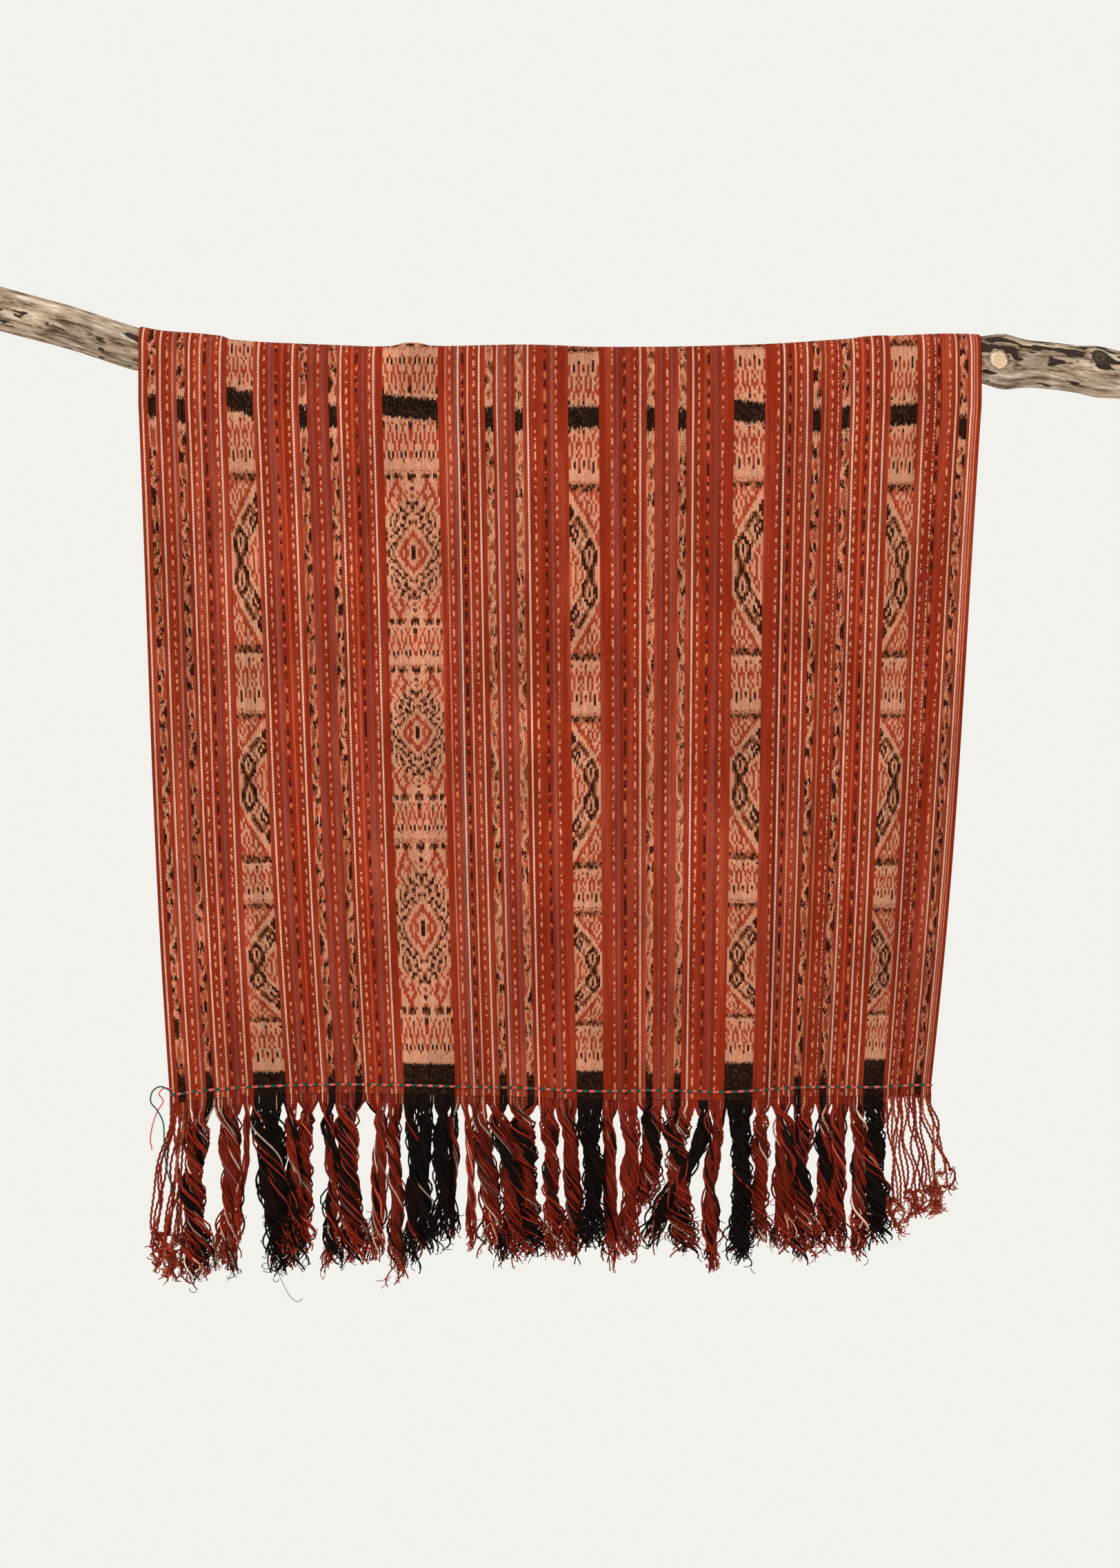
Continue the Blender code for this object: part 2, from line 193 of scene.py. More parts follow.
# Small ikats: between these distances from the cloth's middle their levels shift from light to
# dark, and up to these distances from their black middle they are cream
SMALL_SHIFT = (130 * MM, 330 * MM, 0.14, -0.06)
BESIDE_MIDDLE = (23 * MM, 27 * MM)
# Reach of the bands' milestones, and how far each tied bundle leans
CHART_SPAN = 840
BUNDLE_SLANT = 1.2 * MM

# Charts of the bands, one letter for a tied bundle of two warp threads, from the symmetry
# line outwards. The first 22 rows climb from a lozenge's centre to its dark row, and the last 14
# are the spikes. k black, t tan, r red, s salmon, c cream
WIDE_CHART = (
    "kcrrcrrcctckt", "kccrrrcctckcc", "ccrrrcctkkctc", "crrrccttcccck",
    "rrccctkcctkct", "rccctcckkccck", "cctktcktctcct", "ctcckkcctckcc",
    "tkctccckkctcc", "ccckkcttcctcc", "ctktcctkctccr", "tcctkkccrccrr",
    "kctccktccrccr", "tkkcccrcccrrc", "cctccrrrccrrc", "tccrcrrcrrrcr",
    "ccrcrrcccrrcr", "kccccrrcrrccr", "ccccccrrrcccr", "tcccccrrccccr",
    "kkccttkktckkt", "tkcccktktcktc", "ccccccccccccc", "kcrcrcccrcrck",
    "kccrcckccrcck", "rccrccrccrccr", "rcrcrcrcrcrcr", "rcrcrcrcrcrcr",
    "crrcrrcrrcrrc", "crcccrcrcccrc", "crcccrcrcccrc", "rckckcrckckcr",
    "rckckcrckckcr", "cccrcccccrccc", "ccccccccccccc", "ccccccccccccc",
)
NARROW_CHART = (
    "scrccrctkktcc", "scrcrckktktcc", "rcrrckktctktc", "crcrckkctckkc",
    "crrccktckckkc", "crcctktckctkc", "cccttckkctkcc", "cckctcckkktcr",
    "ckkcctccktcrr", "kkckccttcccrr", "kckkctktccrcr", "kktctktccrrrc",
    "ctttktccrrcrc", "kctktccrrcccr", "kkccccrrrcrcc", "kkcccrrrcrcrc",
    "kcccrrcrcrcrc", "cccrrrcrrcrcr", "ccrrccrccrcrr", "crrsrscrsrsrs",
    "tkktstkktktsk", "ktkktkttktktt", "ccccccccccccc", "kcccrckccccrc",
    "ccrcccrcccrcc", "rcrcrcrcrcrcr", "rrcrrrcrrrcrr", "crcrcrcrcrcrc",
    "crccrccrcrccr", "crcrcrcrcrcrc", "rcccrcccrcccr", "rckcrckcrckcr",
    "rckcrcrcrckcr", "cccckccccckcc", "ccccccccccccc", "ccccccccccccc",
)
# Chart of the small ikat stripes, five bundles wide: hooks that climb from side to side
SMALL_CHART = (
    "kckkc", "kckkr", "kkckr", "sccsr", "ccrrr", "kcsrr",
    "kkcsr", "kkcrr", "ktcrr", "tscrr", "cstrr", "rctkc",
    "rkktc", "rctcs", "rrcck", "rcckk", "cckkk", "cstkk",
    "ccstk", "cccsr", "kccrr", "kkkcr", "kkktr", "tkkcr",
    "ccsrc", "crrcc", "crrrc", "crrrc", "scrrc", "rccsc",
)
SMALL_REPEAT = 93.0
LOZENGE_ROWS = 22
BUNDLES = len(WIDE_CHART[0])
SMALL_BUNDLES = len(SMALL_CHART[0])
CHART_COLOURS = {
    "k": (54, 24, 13), "t": (138, 80, 50), "r": (164, 60, 34), "s": (190, 108, 78),
    "c": (213, 149, 117),
}
BLACK = (30, 15, 9)
WORN_BLACK = (74, 48, 31)
GROUND = (152, 46, 22)
WORN_RED = (196, 104, 78)
SALMON = (224, 148, 114)
DARK_GROUND = (134, 38, 20)
# Spotted stripes: repeats, and the share of a repeat where each colour starts
DOT_REPEAT = 12.5 * MM
TICK_REPEAT = 5.5 * MM
DARK_REPEAT = 21 * MM
DOT_STOPS = ((0.0, GROUND), (0.34, SALMON), (0.72, GROUND))
TICK_STOPS = ((0.0, GROUND), (0.2, (232, 200, 172)), (0.66, GROUND))
DARK_STOPS = (
    (0.0, DARK_GROUND), (0.1, (66, 28, 18)), (0.42, DARK_GROUND), (0.62, (204, 116, 78)),
    (0.8, DARK_GROUND),
)
# Differences between threads, at most, as a share of their light
THREAD_SPREAD = 0.13
# Corded stripes: length of a bead, its slant, and its light from edge to crown
CORD_BEAD = 3.9 * MM
CORD_SLANT = 5.5 * MM
CORD_LIGHT = ((0.0, (0.42, 0.2, 0.16)), (0.16, (0.86, 0.78, 0.74)), (0.3, (1.0, 1.0, 1.0)))

# Fringe yarns below the ikats, the red ground and the spotted stripes, and two mixed in by chance
BLACK_YARN = (27, 19, 16)
RED_YARN = (148, 44, 26)
SPOTTED_YARN = (128, 40, 26)
DARK_YARN = (38, 22, 18)
GREY_YARN = (176, 150, 132)
# Dark red of the bundles' hearts: painted shade deep inside the locks
HEART_SHADE_RED = (124, 38, 24)
STRING_SHADES = ((150, 46, 28), (128, 40, 26), (140, 48, 30), (172, 86, 58), (112, 44, 30))

# Fringe locks of the front: top, root width, foot, tip, bow, stands forward
FRONT_LOCKS = (
    (-445, 29, -445, -1124, -4, 2), (-406, 25, -409, -1113, 5, -3), (-383, 5, -397, -1072, 3, 6),
    (-360, 39, -338, -1113, -2, -4), (-333, 14, -330, -1094, 6, 10),
    (-308, 20, -315, -1092, -5, -4), (-287, 16, -281, -1110, 4, 3),
    (-261, 27, -252, -1103, -4, -2), (-223, 16, -229, -1103, 5, 3),
    (-202, 16, -198, -1122, -3, -3), (-184, 15, -181, -1105, 3, 4),
    (-164, 20, -164, -1089, -4, -2), (-145, 19, -147, -1076, 2, 5),
    (-129, 10, -132, -1074, -2, -4), (-116, 8, -110, -1084, 4, 7), (-102, 24, -84, -1090, 5, -2),
    (-79, 24, -63, -1100, 10, 7), (-45, 33, -37, -1096, -5, -4), (-16, 19, -8, -1097, 2, 5),
    (8, 24, 13, -1097, 6, -3), (37, 30, 39, -1081, 2, 3), (61, 15, 66, -1102, -3, -4),
    (83, 21, 82, -1093, 5, 2), (109, 26, 100, -1035, 9, -5), (148, 30, 153, -1090, -6, -2),
    (176, 14, 110, -1084, 12, -12), (194, 17, 186, -1110, -4, -4), (221, 31, 219, -1096, 3, 2),
    (248, 20, 246, -1078, -2, -4), (272, 24, 274, -1086, 3, 3), (299, 25, 300, -1098, -3, -2),
    (324, 18, 322, -1083, 3, 3), (344, 17, 343, -1088, -3, -4), (364, 17, 365, -1093, 3, 3),
    (388, 29, 388, -1076, -2, 0),
)
# A lock's yarns end up to SHORTEST above its tip, and a few hang lower than the rest
SHORTEST = 26
LOW_SHARE = 0.12
LOW_BY = 9
# Its turns, the bunching of its steps towards the tip, and where its yarns have been gathered
LOCK_TURNS = (0.9, 1.9)
STEP_BUNCHING = 1.35
GATHER_FROM = 0.03
GATHER_LENGTH = 0.17
# The tip opens from this share of the length on by this share of the radius
OPEN_FROM = 0.65
OPENING = 0.22
# A heart's share of its lock's radius
HEART_SHARE = 0.36
# A lock's radius along its course: share of its length, share of its radius
LOCK_COURSE = ((0.0, 1.25), (0.12, 1.15), (0.36, 0.95), (0.62, 1.0), (0.85, 1.08), (1.0, 1.08))
# Reach of the bundles and of their yarns, sideways and forwards, as shares of the lock's radius
BUNDLE_REACH = (0.38, 0.3)
YARN_REACH = (0.6, 0.45)
# Share of yarns that stray, and how far strays and the others wander
STRAY_SHARE = 0.1
STRAY_WANDER = 4.2
YARN_WANDER = 0.8
# A direction that no yarn runs in, from which the tubes' rings are set up
NEARLY_BACKWARDS = (0.06, 1.0, 0.03)
# Length of one turn of a yarn's plies
PLY_LENGTH = 4.2 * MM
# Loose strings: crimps and their height, height of the slow drift, start and turn of the curl
CRIMPS = 21
CRIMP_HEIGHT = 0.55 * MM
DRIFT_HEIGHT = 2.2 * MM
CURL_FROM = 0.86
CURL_TURN = 5.2
# Loose strings: top, foot and tip of the first and of the last, and their count
STRING_GROUPS = (
    ((-478, -502, -1092), (-457, -464, -1108), 15),
    ((405, 408, -1050), (457, 480, -1016), 17),
)
# Locks of black yarn alone: top and width
BLACK_LOCKS = ((176, 13),)
# Locks fuller or thinner than their width tells: top and share
LOCK_FULLNESS = ((176, 1.25), (8, 0.8), (37, 0.85), (221, 0.75))
BACK_LOCKS = 30
BACK_FRINGE_LENGTH = 205
BACK_LOCK_RADIUS = 5.2 * MM

# Stray threads: colour, radius, and places along, height and forward of the cloth's face
STRAY_THREADS = (
    ((236, 92, 104), 0.8, (
        (-476, -888, 3), (-486, -886, 6), (-492, -893, 8), (-487, -902, 8), (-494, -914, 6),
        (-500, -930, 5), (-503, -948, 6), (-501, -962, 6),
    )),
    ((30, 84, 62), 0.9, (
        (-478, -890, 4), (-490, -884, 8), (-500, -890, 10), (-502, -903, 9), (-494, -914, 7),
        (-487, -930, 6), (-486, -955, 5), (-483, -985, 5), (-477, -1006, 5), (-474, -1014, 5),
    )),
    ((150, 142, 138), 0.5, (
        (-356, -1096, 4), (-348, -1108, 5), (-342, -1120, 5), (-332, -1140, 4), (-322, -1148, 4),
        (-316, -1144, 5),
    )),
)

# Half the branch's length under the cloth, shares of the rings left of it, on it and right of it,
# where the relief starts and over what length, and how far the covered wood is sunk
COVERED = 0.5
RING_SHARES = (0.32, 0.3, 0.38)
RELIEF_FROM = 0.512
RELIEF_EASE = 0.02
SUNK = 0.5 * MM
# Side knots on the bare ends: along, angle round the branch from its front, half size, rise
SIDE_KNOTS = ((541, -6, 12, 3.2), (663, 27, 11, 2.0), (-640, -25, 9, 1.4), (612, -35, 8, 1.2))
# Faces of two knots: centre in the branch's own coordinates, radius with the noise's share, rings
WOOD_KNOTS = (
    ((0.5395, -0.0315, -0.0022), 20.5 * MM, (
        (0.0, (222, 176, 134)), (0.3, (236, 206, 172)), (0.4, (204, 152, 112)), (0.5, (238, 212, 180)),
        (0.64, (220, 180, 142)), (0.78, (240, 218, 190)), (0.93, (120, 92, 72)),
    )),
    ((0.663, -0.0285, 0.0135), 18.5 * MM, (
        (0.0, (78, 62, 52)), (0.35, (100, 84, 72)), (0.5, (66, 54, 46)), (0.65, (96, 80, 68)),
        (0.8, (62, 50, 42)), (1.0, (84, 70, 58)),
    )),
)
# The stage: the big soft light's place, target and size, and the floor
KEY_PLACE = (-1.9, -2.4, 1.4)
KEY_TARGET = (0, 0, -0.4)
KEY_SIZE = 1.8
FLOOR_HEIGHT = -2.35
FLOOR_RADIUS = 1.3

# What every colour setting has in common
COLOUR = {"subtype": "COLOR", "size": 3, "min": 0, "max": 1}

WARP_ON_BRANCH, WARP_AT_HEM = np.array(WARP_LINES).T * MM
HEM_ALONG, HEM_HEIGHT = np.array(FRONT_HEM).T * MM


def linear(colour):
    """Screen colour from 0 to 255 to linear light: the usual curve, a straight toe and a power."""
    share = np.array(colour, float) / 255
    return tuple(np.where(share <= 0.04045, share / 12.92, ((share + 0.055) / 1.055) ** 2.4))


def ease(share):
    """0 before the start, 1 past the end, and s squared times (3 - 2 s) between."""
    share = np.clip(share, 0.0, 1.0)
    return share * share * (3 - 2 * share)


def softened(along, column):
    """A column of the branch's table at a place, averaged over five places around it."""
    rows = np.array(BRANCH_LINE, float) * MM
    around = np.asarray(along)[..., None] + LINE_SOFTENING * np.linspace(-1, 1, 5)
    return np.interp(around, rows[:, 0], rows[:, column]).mean(-1)


def branch_height(along):
    """Height of the branch's middle line."""
    return softened(along, 1)


def branch_radius(along, angle):
    """Radius of the table plus a bell for each knot, a little oval in a direction that turns."""
    along = np.asarray(along, float)
    knots = sum(
        rise * np.exp(-(((along / MM - place) / half) ** 2)) for place, half, rise in BRANCH_KNOTS
    )
    return softened(along, 2) + knots * MM + BRANCH_OVALNESS * np.sin(2 * angle + BRANCH_TURN * along)


def warp_along(flat, drop):
    """A warp line's place: from its place on the branch towards its place at the hem, a little late."""
    at_hem = np.interp(flat, WARP_ON_BRANCH, WARP_AT_HEM)
    return flat + (at_hem - flat) * (drop - DRAW_IN_LAG * np.sin(np.pi * drop**DRAW_IN_BEND))


def hem_height(flat):
    """Height of the front hem at a warp line, from the hem's own table."""
    return np.interp(warp_along(flat, 1.0), HEM_ALONG, HEM_HEIGHT)


def front_rise(flat, drop):
    """Sum of bells across the cloth, each growing from its start down to the hem."""
    rise = 0.0
    for place, half, height, start in FRONT_FOLDS:
        across = np.exp(-(((flat / MM - place) / half) ** 2))
        rise = rise + height * MM * across * ease((drop - start) / (1 - start))
    return rise


def small_rise(flat, height):
    """Sum of long narrow bells, the small creases of the hanging front."""
    rise = 0.0
    for place, half, middle, reach, lift in SMALL_CREASES:
        across = ((flat / MM - place - 0.04 * (height / MM - middle)) / half) ** 2
        rise = rise + lift * MM * np.exp(-across - ((height / MM - middle) / reach) ** 2)
    return rise


def swell(flat):
    """Slack over the branch: flat hills with eased sides."""
    along = flat / MM
    rise = 0.0
    for start, full, leaves, end, height in SWELLS:
        rise = rise + height * ease((along - start) / (full - start)) * ease((end - along) / (end - leaves))
    return rise * MM


def sheet_radius(flat, angle):
    """The branch's radius plus the seam and half the cloth."""
    return branch_radius(flat, angle) + CLOTH_GAP + CLOTH_THICK / 2


def on_front(flat, height):
    """A point of the hanging front: out from the branch's face by the folds, drawn in by its drop."""
    drop = np.clip((-FREE_DROP - height) / (-FREE_DROP - hem_height(flat)), 0.0, 1.0)
    depth = -sheet_radius(flat, 0.0) - front_rise(flat, drop)
    return warp_along(flat, drop), depth, height


def on_back(flat, height):
    """A point of the hanging back: one even wave that grows downwards."""
    drop = np.clip((-FREE_DROP - height) / (-FREE_DROP - BACK_HEM), 0.0, 1.0)
    wave = BACK_WAVE * np.sin(2 * np.pi * flat / BACK_WAVE_LENGTH) * ease(drop)
    return warp_along(flat, BACK_DRAW_IN * drop), sheet_radius(flat, np.pi) + wave, height


def make_mesh(name, points, faces):
    """A smooth mesh object from an array of points and lists of faces."""
    mesh = bpy.data.meshes.new(name)
    mesh.from_pydata(points.reshape(-1, 3).tolist(), [], faces)
    mesh.validate()
    mesh.shade_smooth()
    made = bpy.data.objects.new(name, mesh)
    bpy.context.scene.collection.objects.link(made)
    return made


def grid_faces(rows, columns, start=0, flip=False):
    """Quads of a grid whose points are numbered row by row."""
    corner = start + np.arange(rows * columns).reshape(rows, columns)
    quads = np.stack([corner[:-1, :-1], corner[:-1, 1:], corner[1:, 1:], corner[1:, :-1]], -1)
    quads = quads.reshape(-1, 4)
    return quads[:, ::-1] if flip else quads


def ring_faces(number):
    """Quads between neighbouring closed rings of numbered points."""
    after = np.roll(number, -1, axis=-1)
    quads = [number[..., :-1, :], number[..., 1:, :], after[..., 1:, :], after[..., :-1, :]]
    return np.stack(quads, -1).reshape(-1, 4)


def paint(made, name, colours, domain="POINT"):
    """Stores one colour for each point or face."""
    layer = made.data.attributes.new(name, "FLOAT_COLOR", domain)
    full = np.concatenate([colours, np.ones((len(colours), 1))], 1)
    layer.data.foreach_set("color", full.astype(np.float32).ravel())


def write_map(made, name, places):
    """Stores a UV map, one place for each face corner."""
    layer = made.data.uv_layers.new(name=name)
    layer.data.foreach_set("uv", places.astype(np.float32).ravel())


def tubes(name, paths, radii, sides, colours):
    """Round yarns: a ring of points is carried along each path, square to it, and closed by caps.

    paths is yarns x steps x 3, radii is yarns x steps, and colours is yarns x 3 or yarns x steps x 3.
    The UV map runs round each yarn and along it, in metres.
    """
    count, steps = paths.shape[:2]
    ahead = np.gradient(paths, axis=1)
    ahead /= np.linalg.norm(ahead, axis=2, keepdims=True) + 1e-12
    across = np.cross(ahead, NEARLY_BACKWARDS)
    across /= np.linalg.norm(across, axis=2, keepdims=True) + 1e-12
    up = np.cross(across, ahead)
    turn = 2 * np.pi * np.arange(sides) / sides
    ring = np.cos(turn)[:, None] * across[:, :, None] + np.sin(turn)[:, None] * up[:, :, None]
    points = paths[:, :, None] + ring * radii[:, :, None, None]
    number = np.arange(count * steps * sides).reshape(count, steps, sides)
    caps = np.concatenate([number[:, 0], number[:, -1, ::-1]])
    made = make_mesh(name, points, ring_faces(number).tolist() + caps.tolist())
    if colours.ndim == 2:
        colours = np.repeat(colours[:, None], steps, 1)
    paint(made, "yarn_colour", np.repeat(colours[:, :, None], sides, 2).reshape(-1, 3))
    gone = np.zeros((count, steps))
    gone[:, 1:] = np.cumsum(np.linalg.norm(np.diff(paths, axis=1), axis=2), 1)
    low, high = gone[:, :-1], gone[:, 1:]
    wall_map = np.zeros((count, steps - 1, sides, 4, 2))
    wall_map[..., 0] = np.arange(sides)[:, None] / sides + np.array((0, 0, 1, 1)) / sides
    wall_map[..., 1] = np.stack([low, high, high, low], -1)[:, :, None]
    cap_map = np.zeros((caps.size, 2))
    write_map(made, "along_yarn", np.concatenate([wall_map.reshape(-1, 2), cap_map]))
    return made


def settle(made, node):
    """The piece rides on the root body and stands for a node, whose imported part is hidden."""
    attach(made, "root")
    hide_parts(node)


def yarn_piece(name, paths, radii, sides, colours, material, node="front_fringe"):
    """Tubes of one material as a settled piece. The radii may be one for all or one for each step."""
    made = tubes(name, paths, np.broadcast_to(radii, paths.shape[:2]), sides, colours)
    made.data.materials.append(material)
    settle(made, node)


class Term:
    """A socket in a recipe. Sums, differences and products of terms add maths nodes."""

    def __init__(self, recipe, socket):
        self.recipe = recipe
        self.socket = socket

    def __add__(self, other):
        return self.recipe.math("ADD", self, other)

    def __sub__(self, other):
        return self.recipe.math("SUBTRACT", self, other)

    def __rsub__(self, other):
        return self.recipe.math("SUBTRACT", other, self)

    def __mul__(self, other):
        return self.recipe.math("MULTIPLY", self, other)

    def __abs__(self):
        return self.recipe.math("ABSOLUTE", self)


class Recipe:
    """A material whose nodes are added one by one. Plain values are set on the sockets."""

    def __init__(self, name, roughness):
        self.material = bpy.data.materials.new(name)
        self.material.use_nodes = True
        self.tree = self.material.node_tree
        self.shader = self.tree.nodes["Principled BSDF"]
        self.shader.inputs["Roughness"].default_value = roughness
        self.shader.inputs["Specular IOR Level"].default_value = 0.06

    def put(self, socket, value):
        """Links a term, or sets a plain value on the socket itself."""
        if isinstance(value, Term):
            self.tree.links.new(value.socket, socket)
        elif socket.type == "RGBA":
            socket.default_value = (*value, 1.0)
        else:
            socket.default_value = value

    def node(self, kind, inputs, output=0, **settings):
        """Adds a node with its settings and inputs, and returns one of its outputs."""
        made = self.tree.nodes.new(kind)
        for name, value in settings.items():
            setattr(made, name, value)
        for socket, value in inputs.items():
            self.put(made.inputs[socket], value)
        return Term(self, made.outputs[output])

    def math(self, operation, *values):
        return self.node("ShaderNodeMath", dict(enumerate(values)), operation=operation)

    def scaled(self, colour, light):
        return self.node("ShaderNodeVectorMath", {0: colour, 3: light}, operation="SCALE")

    def split(self, vector):
        made = self.tree.nodes.new("ShaderNodeSeparateXYZ")
        self.put(made.inputs[0], vector)
        return [Term(self, output) for output in made.outputs]

    def map_place(self, name):
        return self.split(self.node("ShaderNodeUVMap", {}, uv_map=name))

    def object_place(self):
        return self.node("ShaderNodeTexCoord", {}, output="Object")

    def attribute(self, name, output="Color"):
        return self.node("ShaderNodeAttribute", {}, output=output, attribute_name=name)

    def noise(self, place, scale, detail, roughness=0.5, dimensions="3D"):
        inputs = {"Vector": place, "Scale": scale, "Detail": detail, "Roughness": roughness}
        return self.node("ShaderNodeTexNoise", inputs, noise_dimensions=dimensions)

    def flat_noise(self, x, y, scale=1.0, detail=1.0, roughness=0.5):
        place = self.node("ShaderNodeCombineXYZ", {0: x, 1: y})
        return self.noise(place, scale, detail, roughness, "2D")

    def range(self, value, low, high, to_low=0.0, to_high=1.0, smooth=False):
        """Maps low to high onto two new values and stays there outside, with eased ends if smooth."""
        kind = "SMOOTHSTEP" if smooth else "LINEAR"
        inputs = {0: value, 1: low, 2: high, 3: to_low, 4: to_high}
        return self.node("ShaderNodeMapRange", inputs, interpolation_type=kind)

    def mix(self, share, first, second, blend="MIX"):
        inputs = {0: share, 6: first, 7: second}
        return self.node("ShaderNodeMix", inputs, output=2, data_type="RGBA", blend_type=blend)

    def ramp(self, share, stops, stepped=False):
        """A colour ramp through (place, grey or colour) stops."""
        made = self.tree.nodes.new("ShaderNodeValToRGB")
        band = made.color_ramp
        band.interpolation = "CONSTANT" if stepped else "LINEAR"
        while len(band.elements) > 1:
            band.elements.remove(band.elements[0])
        for number, (place, value) in enumerate(stops):
            colour = value if isinstance(value, tuple) else (value, value, value)
            stop = band.elements[0] if number == 0 else band.elements.new(place)
            stop.position = place
            stop.color = (*colour, 1.0)
        self.put(made.inputs[0], share)
        return Term(self, made.outputs[0])

    def bump(self, height, strength, distance):
        inputs = {"Height": height, "Strength": strength, "Distance": distance}
        self.put(self.shader.inputs["Normal"], self.node("ShaderNodeBump", inputs))

    def paint(self, colour):
        self.put(self.shader.inputs["Base Color"], colour)


class Weave(Recipe):
    """A warp-faced stripe: its threads' own numbers, jitter, shade and ribs."""

    def __init__(self, name):
        super().__init__(name, roughness=0.95)
        self.u, self.v, _ = self.map_place("cloth_flat")
        self.thread = self.math("FLOOR", self.u * (1 / THREAD))
        self.slub = self.flat_noise(self.thread * 3.17, self.v * 130.0)
        self.fleck = self.flat_noise(self.thread * 5.31, self.v * 260.0)
        self.chart_place, self.middle, _ = self.map_place("chart")
        self.phase = self.attribute("stripe_phase", "Fac")

    def jittered(self, reach):
        """Distance from the cloth's mid-line, uneven from thread to thread."""
        return self.v + (self.slub - 0.5) * (2 * reach)

    def wandering_turn(self, distance, repeat, quickness, reach):
        """Share of a repeat that starts at the stripe's own phase and whose length wanders."""
        wander = self.flat_noise(self.phase * 9.0, distance * quickness)
        return self.math("FRACT", distance * (1 / repeat) + self.phase + wander * reach)

    def level_to_colour(self, level):
        """The charts' colours as equal steps from 0 to 1, darkest first."""
        shades = list(CHART_COLOURS.values())
        stops = [(number / len(shades), linear(shade)) for number, shade in enumerate(shades)]
        return self.ramp(level, stops, stepped=True)

    def chart_level(self, chart, row_share):
        """One stepped ramp for each chart column, and only the one at this column counts."""
        letters = list(CHART_COLOURS)
        column = self.math("FLOOR", self.chart_place)
        total = 0.0
        for number in range(len(chart[0])):
            stops = []
            for row, line in enumerate(chart):
                value = (letters.index(line[number]) + 0.5) / len(letters)
                if not stops or stops[-1][1] != value:
                    stops.append((row / len(chart), value))
            here = self.math("COMPARE", column, float(number), 0.4)
            total = self.math("MULTIPLY_ADD", self.ramp(row_share, stops, True), here, total)
        return total + (self.fleck - 0.5) * 0.5

    def black_past(self, colour, distance, start):
        """Black past a distance, with a soft ragged edge and worn flecks."""
        share = self.range(distance, start - SOFT_EDGE, start + SOFT_EDGE, smooth=True)
        worn = self.range(self.fleck, 0.5, 0.72)
        return self.mix(share, colour, self.mix(worn, linear(BLACK), linear(WORN_BLACK)))

    def shade(self, colour, depth=1.0):
        """Multiplies the colour by a number for each thread, slubs, uneven dye, streaks and painted shade.

        The painted shade darkens the cloth low down and low on the right. Reds wear paler along the
        streaks.
        """
        own = self.node("ShaderNodeTexWhiteNoise", {"W": self.thread}, noise_dimensions="1D")
        dye = self.flat_noise(self.u, self.v * 0.6, 14.0, 3.0)
        streak = self.flat_noise(self.u * 75.0, self.v * 2.6, 1.0, 3.0, 0.6)
        spread = THREAD_SPREAD * depth
        light = self.range(own, 0.0, 1.0, 1 - spread, 1 + spread)
        for pattern, low, high in ((self.slub, 0.86, 1.14), (dye, 0.85, 1.13), (streak, 0.9, 1.1)):
            light = light * self.range(pattern, 0.3, 0.7, low, high)
        # Painted shade: the cloth grows darker low on the right and low down
        aside = self.range(self.u, 0.72, 1.0) * self.range(self.v, 0.2, 0.8)
        light = light * (self.range(self.v, 0.6, 0.84, 1.0, 0.94) - aside * 0.13)
        red = self.range(self.split(colour)[0], 0.06, 0.25)
        wear = red * self.range(streak, 0.48, 0.74, 0.0, 0.3 * depth)
        self.paint(self.scaled(self.mix(wear, colour, linear(WORN_RED)), light))
        rib = self.math("SINE", self.u * (2 * math.pi / THREAD))
        pick = self.math("SINE", self.v * (2 * math.pi / WEFT) + self.thread * math.pi)
        self.bump(rib + pick * 0.6, 0.55, 0.35 * MM)


def plain_weave():
    """Plain warp in the stripe's own colour."""
    weave = Weave("plain warp")
    weave.shade(weave.attribute("yarn_colour"))
    return weave.material


def corded_weave():
    """A thick pale thread: slanted beads where its plies turn."""
    weave = Weave("corded warp")
    turn = weave.v * (1 / CORD_BEAD) + weave.u * (1 / CORD_SLANT)
    light = weave.ramp(weave.math("PINGPONG", turn, 0.5), CORD_LIGHT)
    weave.shade(weave.mix(1.0, weave.attribute("yarn_colour"), light, "MULTIPLY"), 0.5)
    return weave.material


def dotted_weave(name, stops, repeat):
    """Short tied dashes: a stepped ramp over each repeat, whose length wanders."""
    weave = Weave(name)
    turn = weave.wandering_turn(abs(weave.jittered(DOT_JITTER)), repeat, *DOT_WANDER)
    weave.shade(weave.ramp(turn, [(place, linear(shade)) for place, shade in stops], stepped=True))
    return weave.material


def small_ikat_weave():
    """Five tied bundles with a short repeat, black at the cloth's middle and ends.

    They are paler in the cloth's middle than at its sides, and cream lies beside the black middle.
    """
    weave = Weave("small ikat warp")
    chart_jitter, middle_jitter, end_jitter = SMALL_JITTER
    distance = abs(weave.jittered(chart_jitter))
    turn = weave.wandering_turn(distance, SMALL_REPEAT * MM, *SMALL_WANDER)
    faded = weave.flat_noise(weave.phase, distance * 6.0, 2.0)
    level = weave.chart_level(SMALL_CHART, turn) + (faded - 0.5) * 0.45
    level = level + weave.range(abs(weave.u - SELVEDGE), *SMALL_SHIFT)
    from_middle = abs(weave.jittered(middle_jitter) - weave.middle)
    beside = weave.range(from_middle, *BESIDE_MIDDLE)
    colour = weave.mix(beside, linear(CHART_COLOURS["c"]), weave.level_to_colour(level))
    colour = weave.black_past(colour, 0.0 - from_middle, -SMALL_BLACK_HALF * MM)
    weave.shade(weave.black_past(colour, abs(weave.jittered(end_jitter)), SMALL_END * MM))
    return weave.material


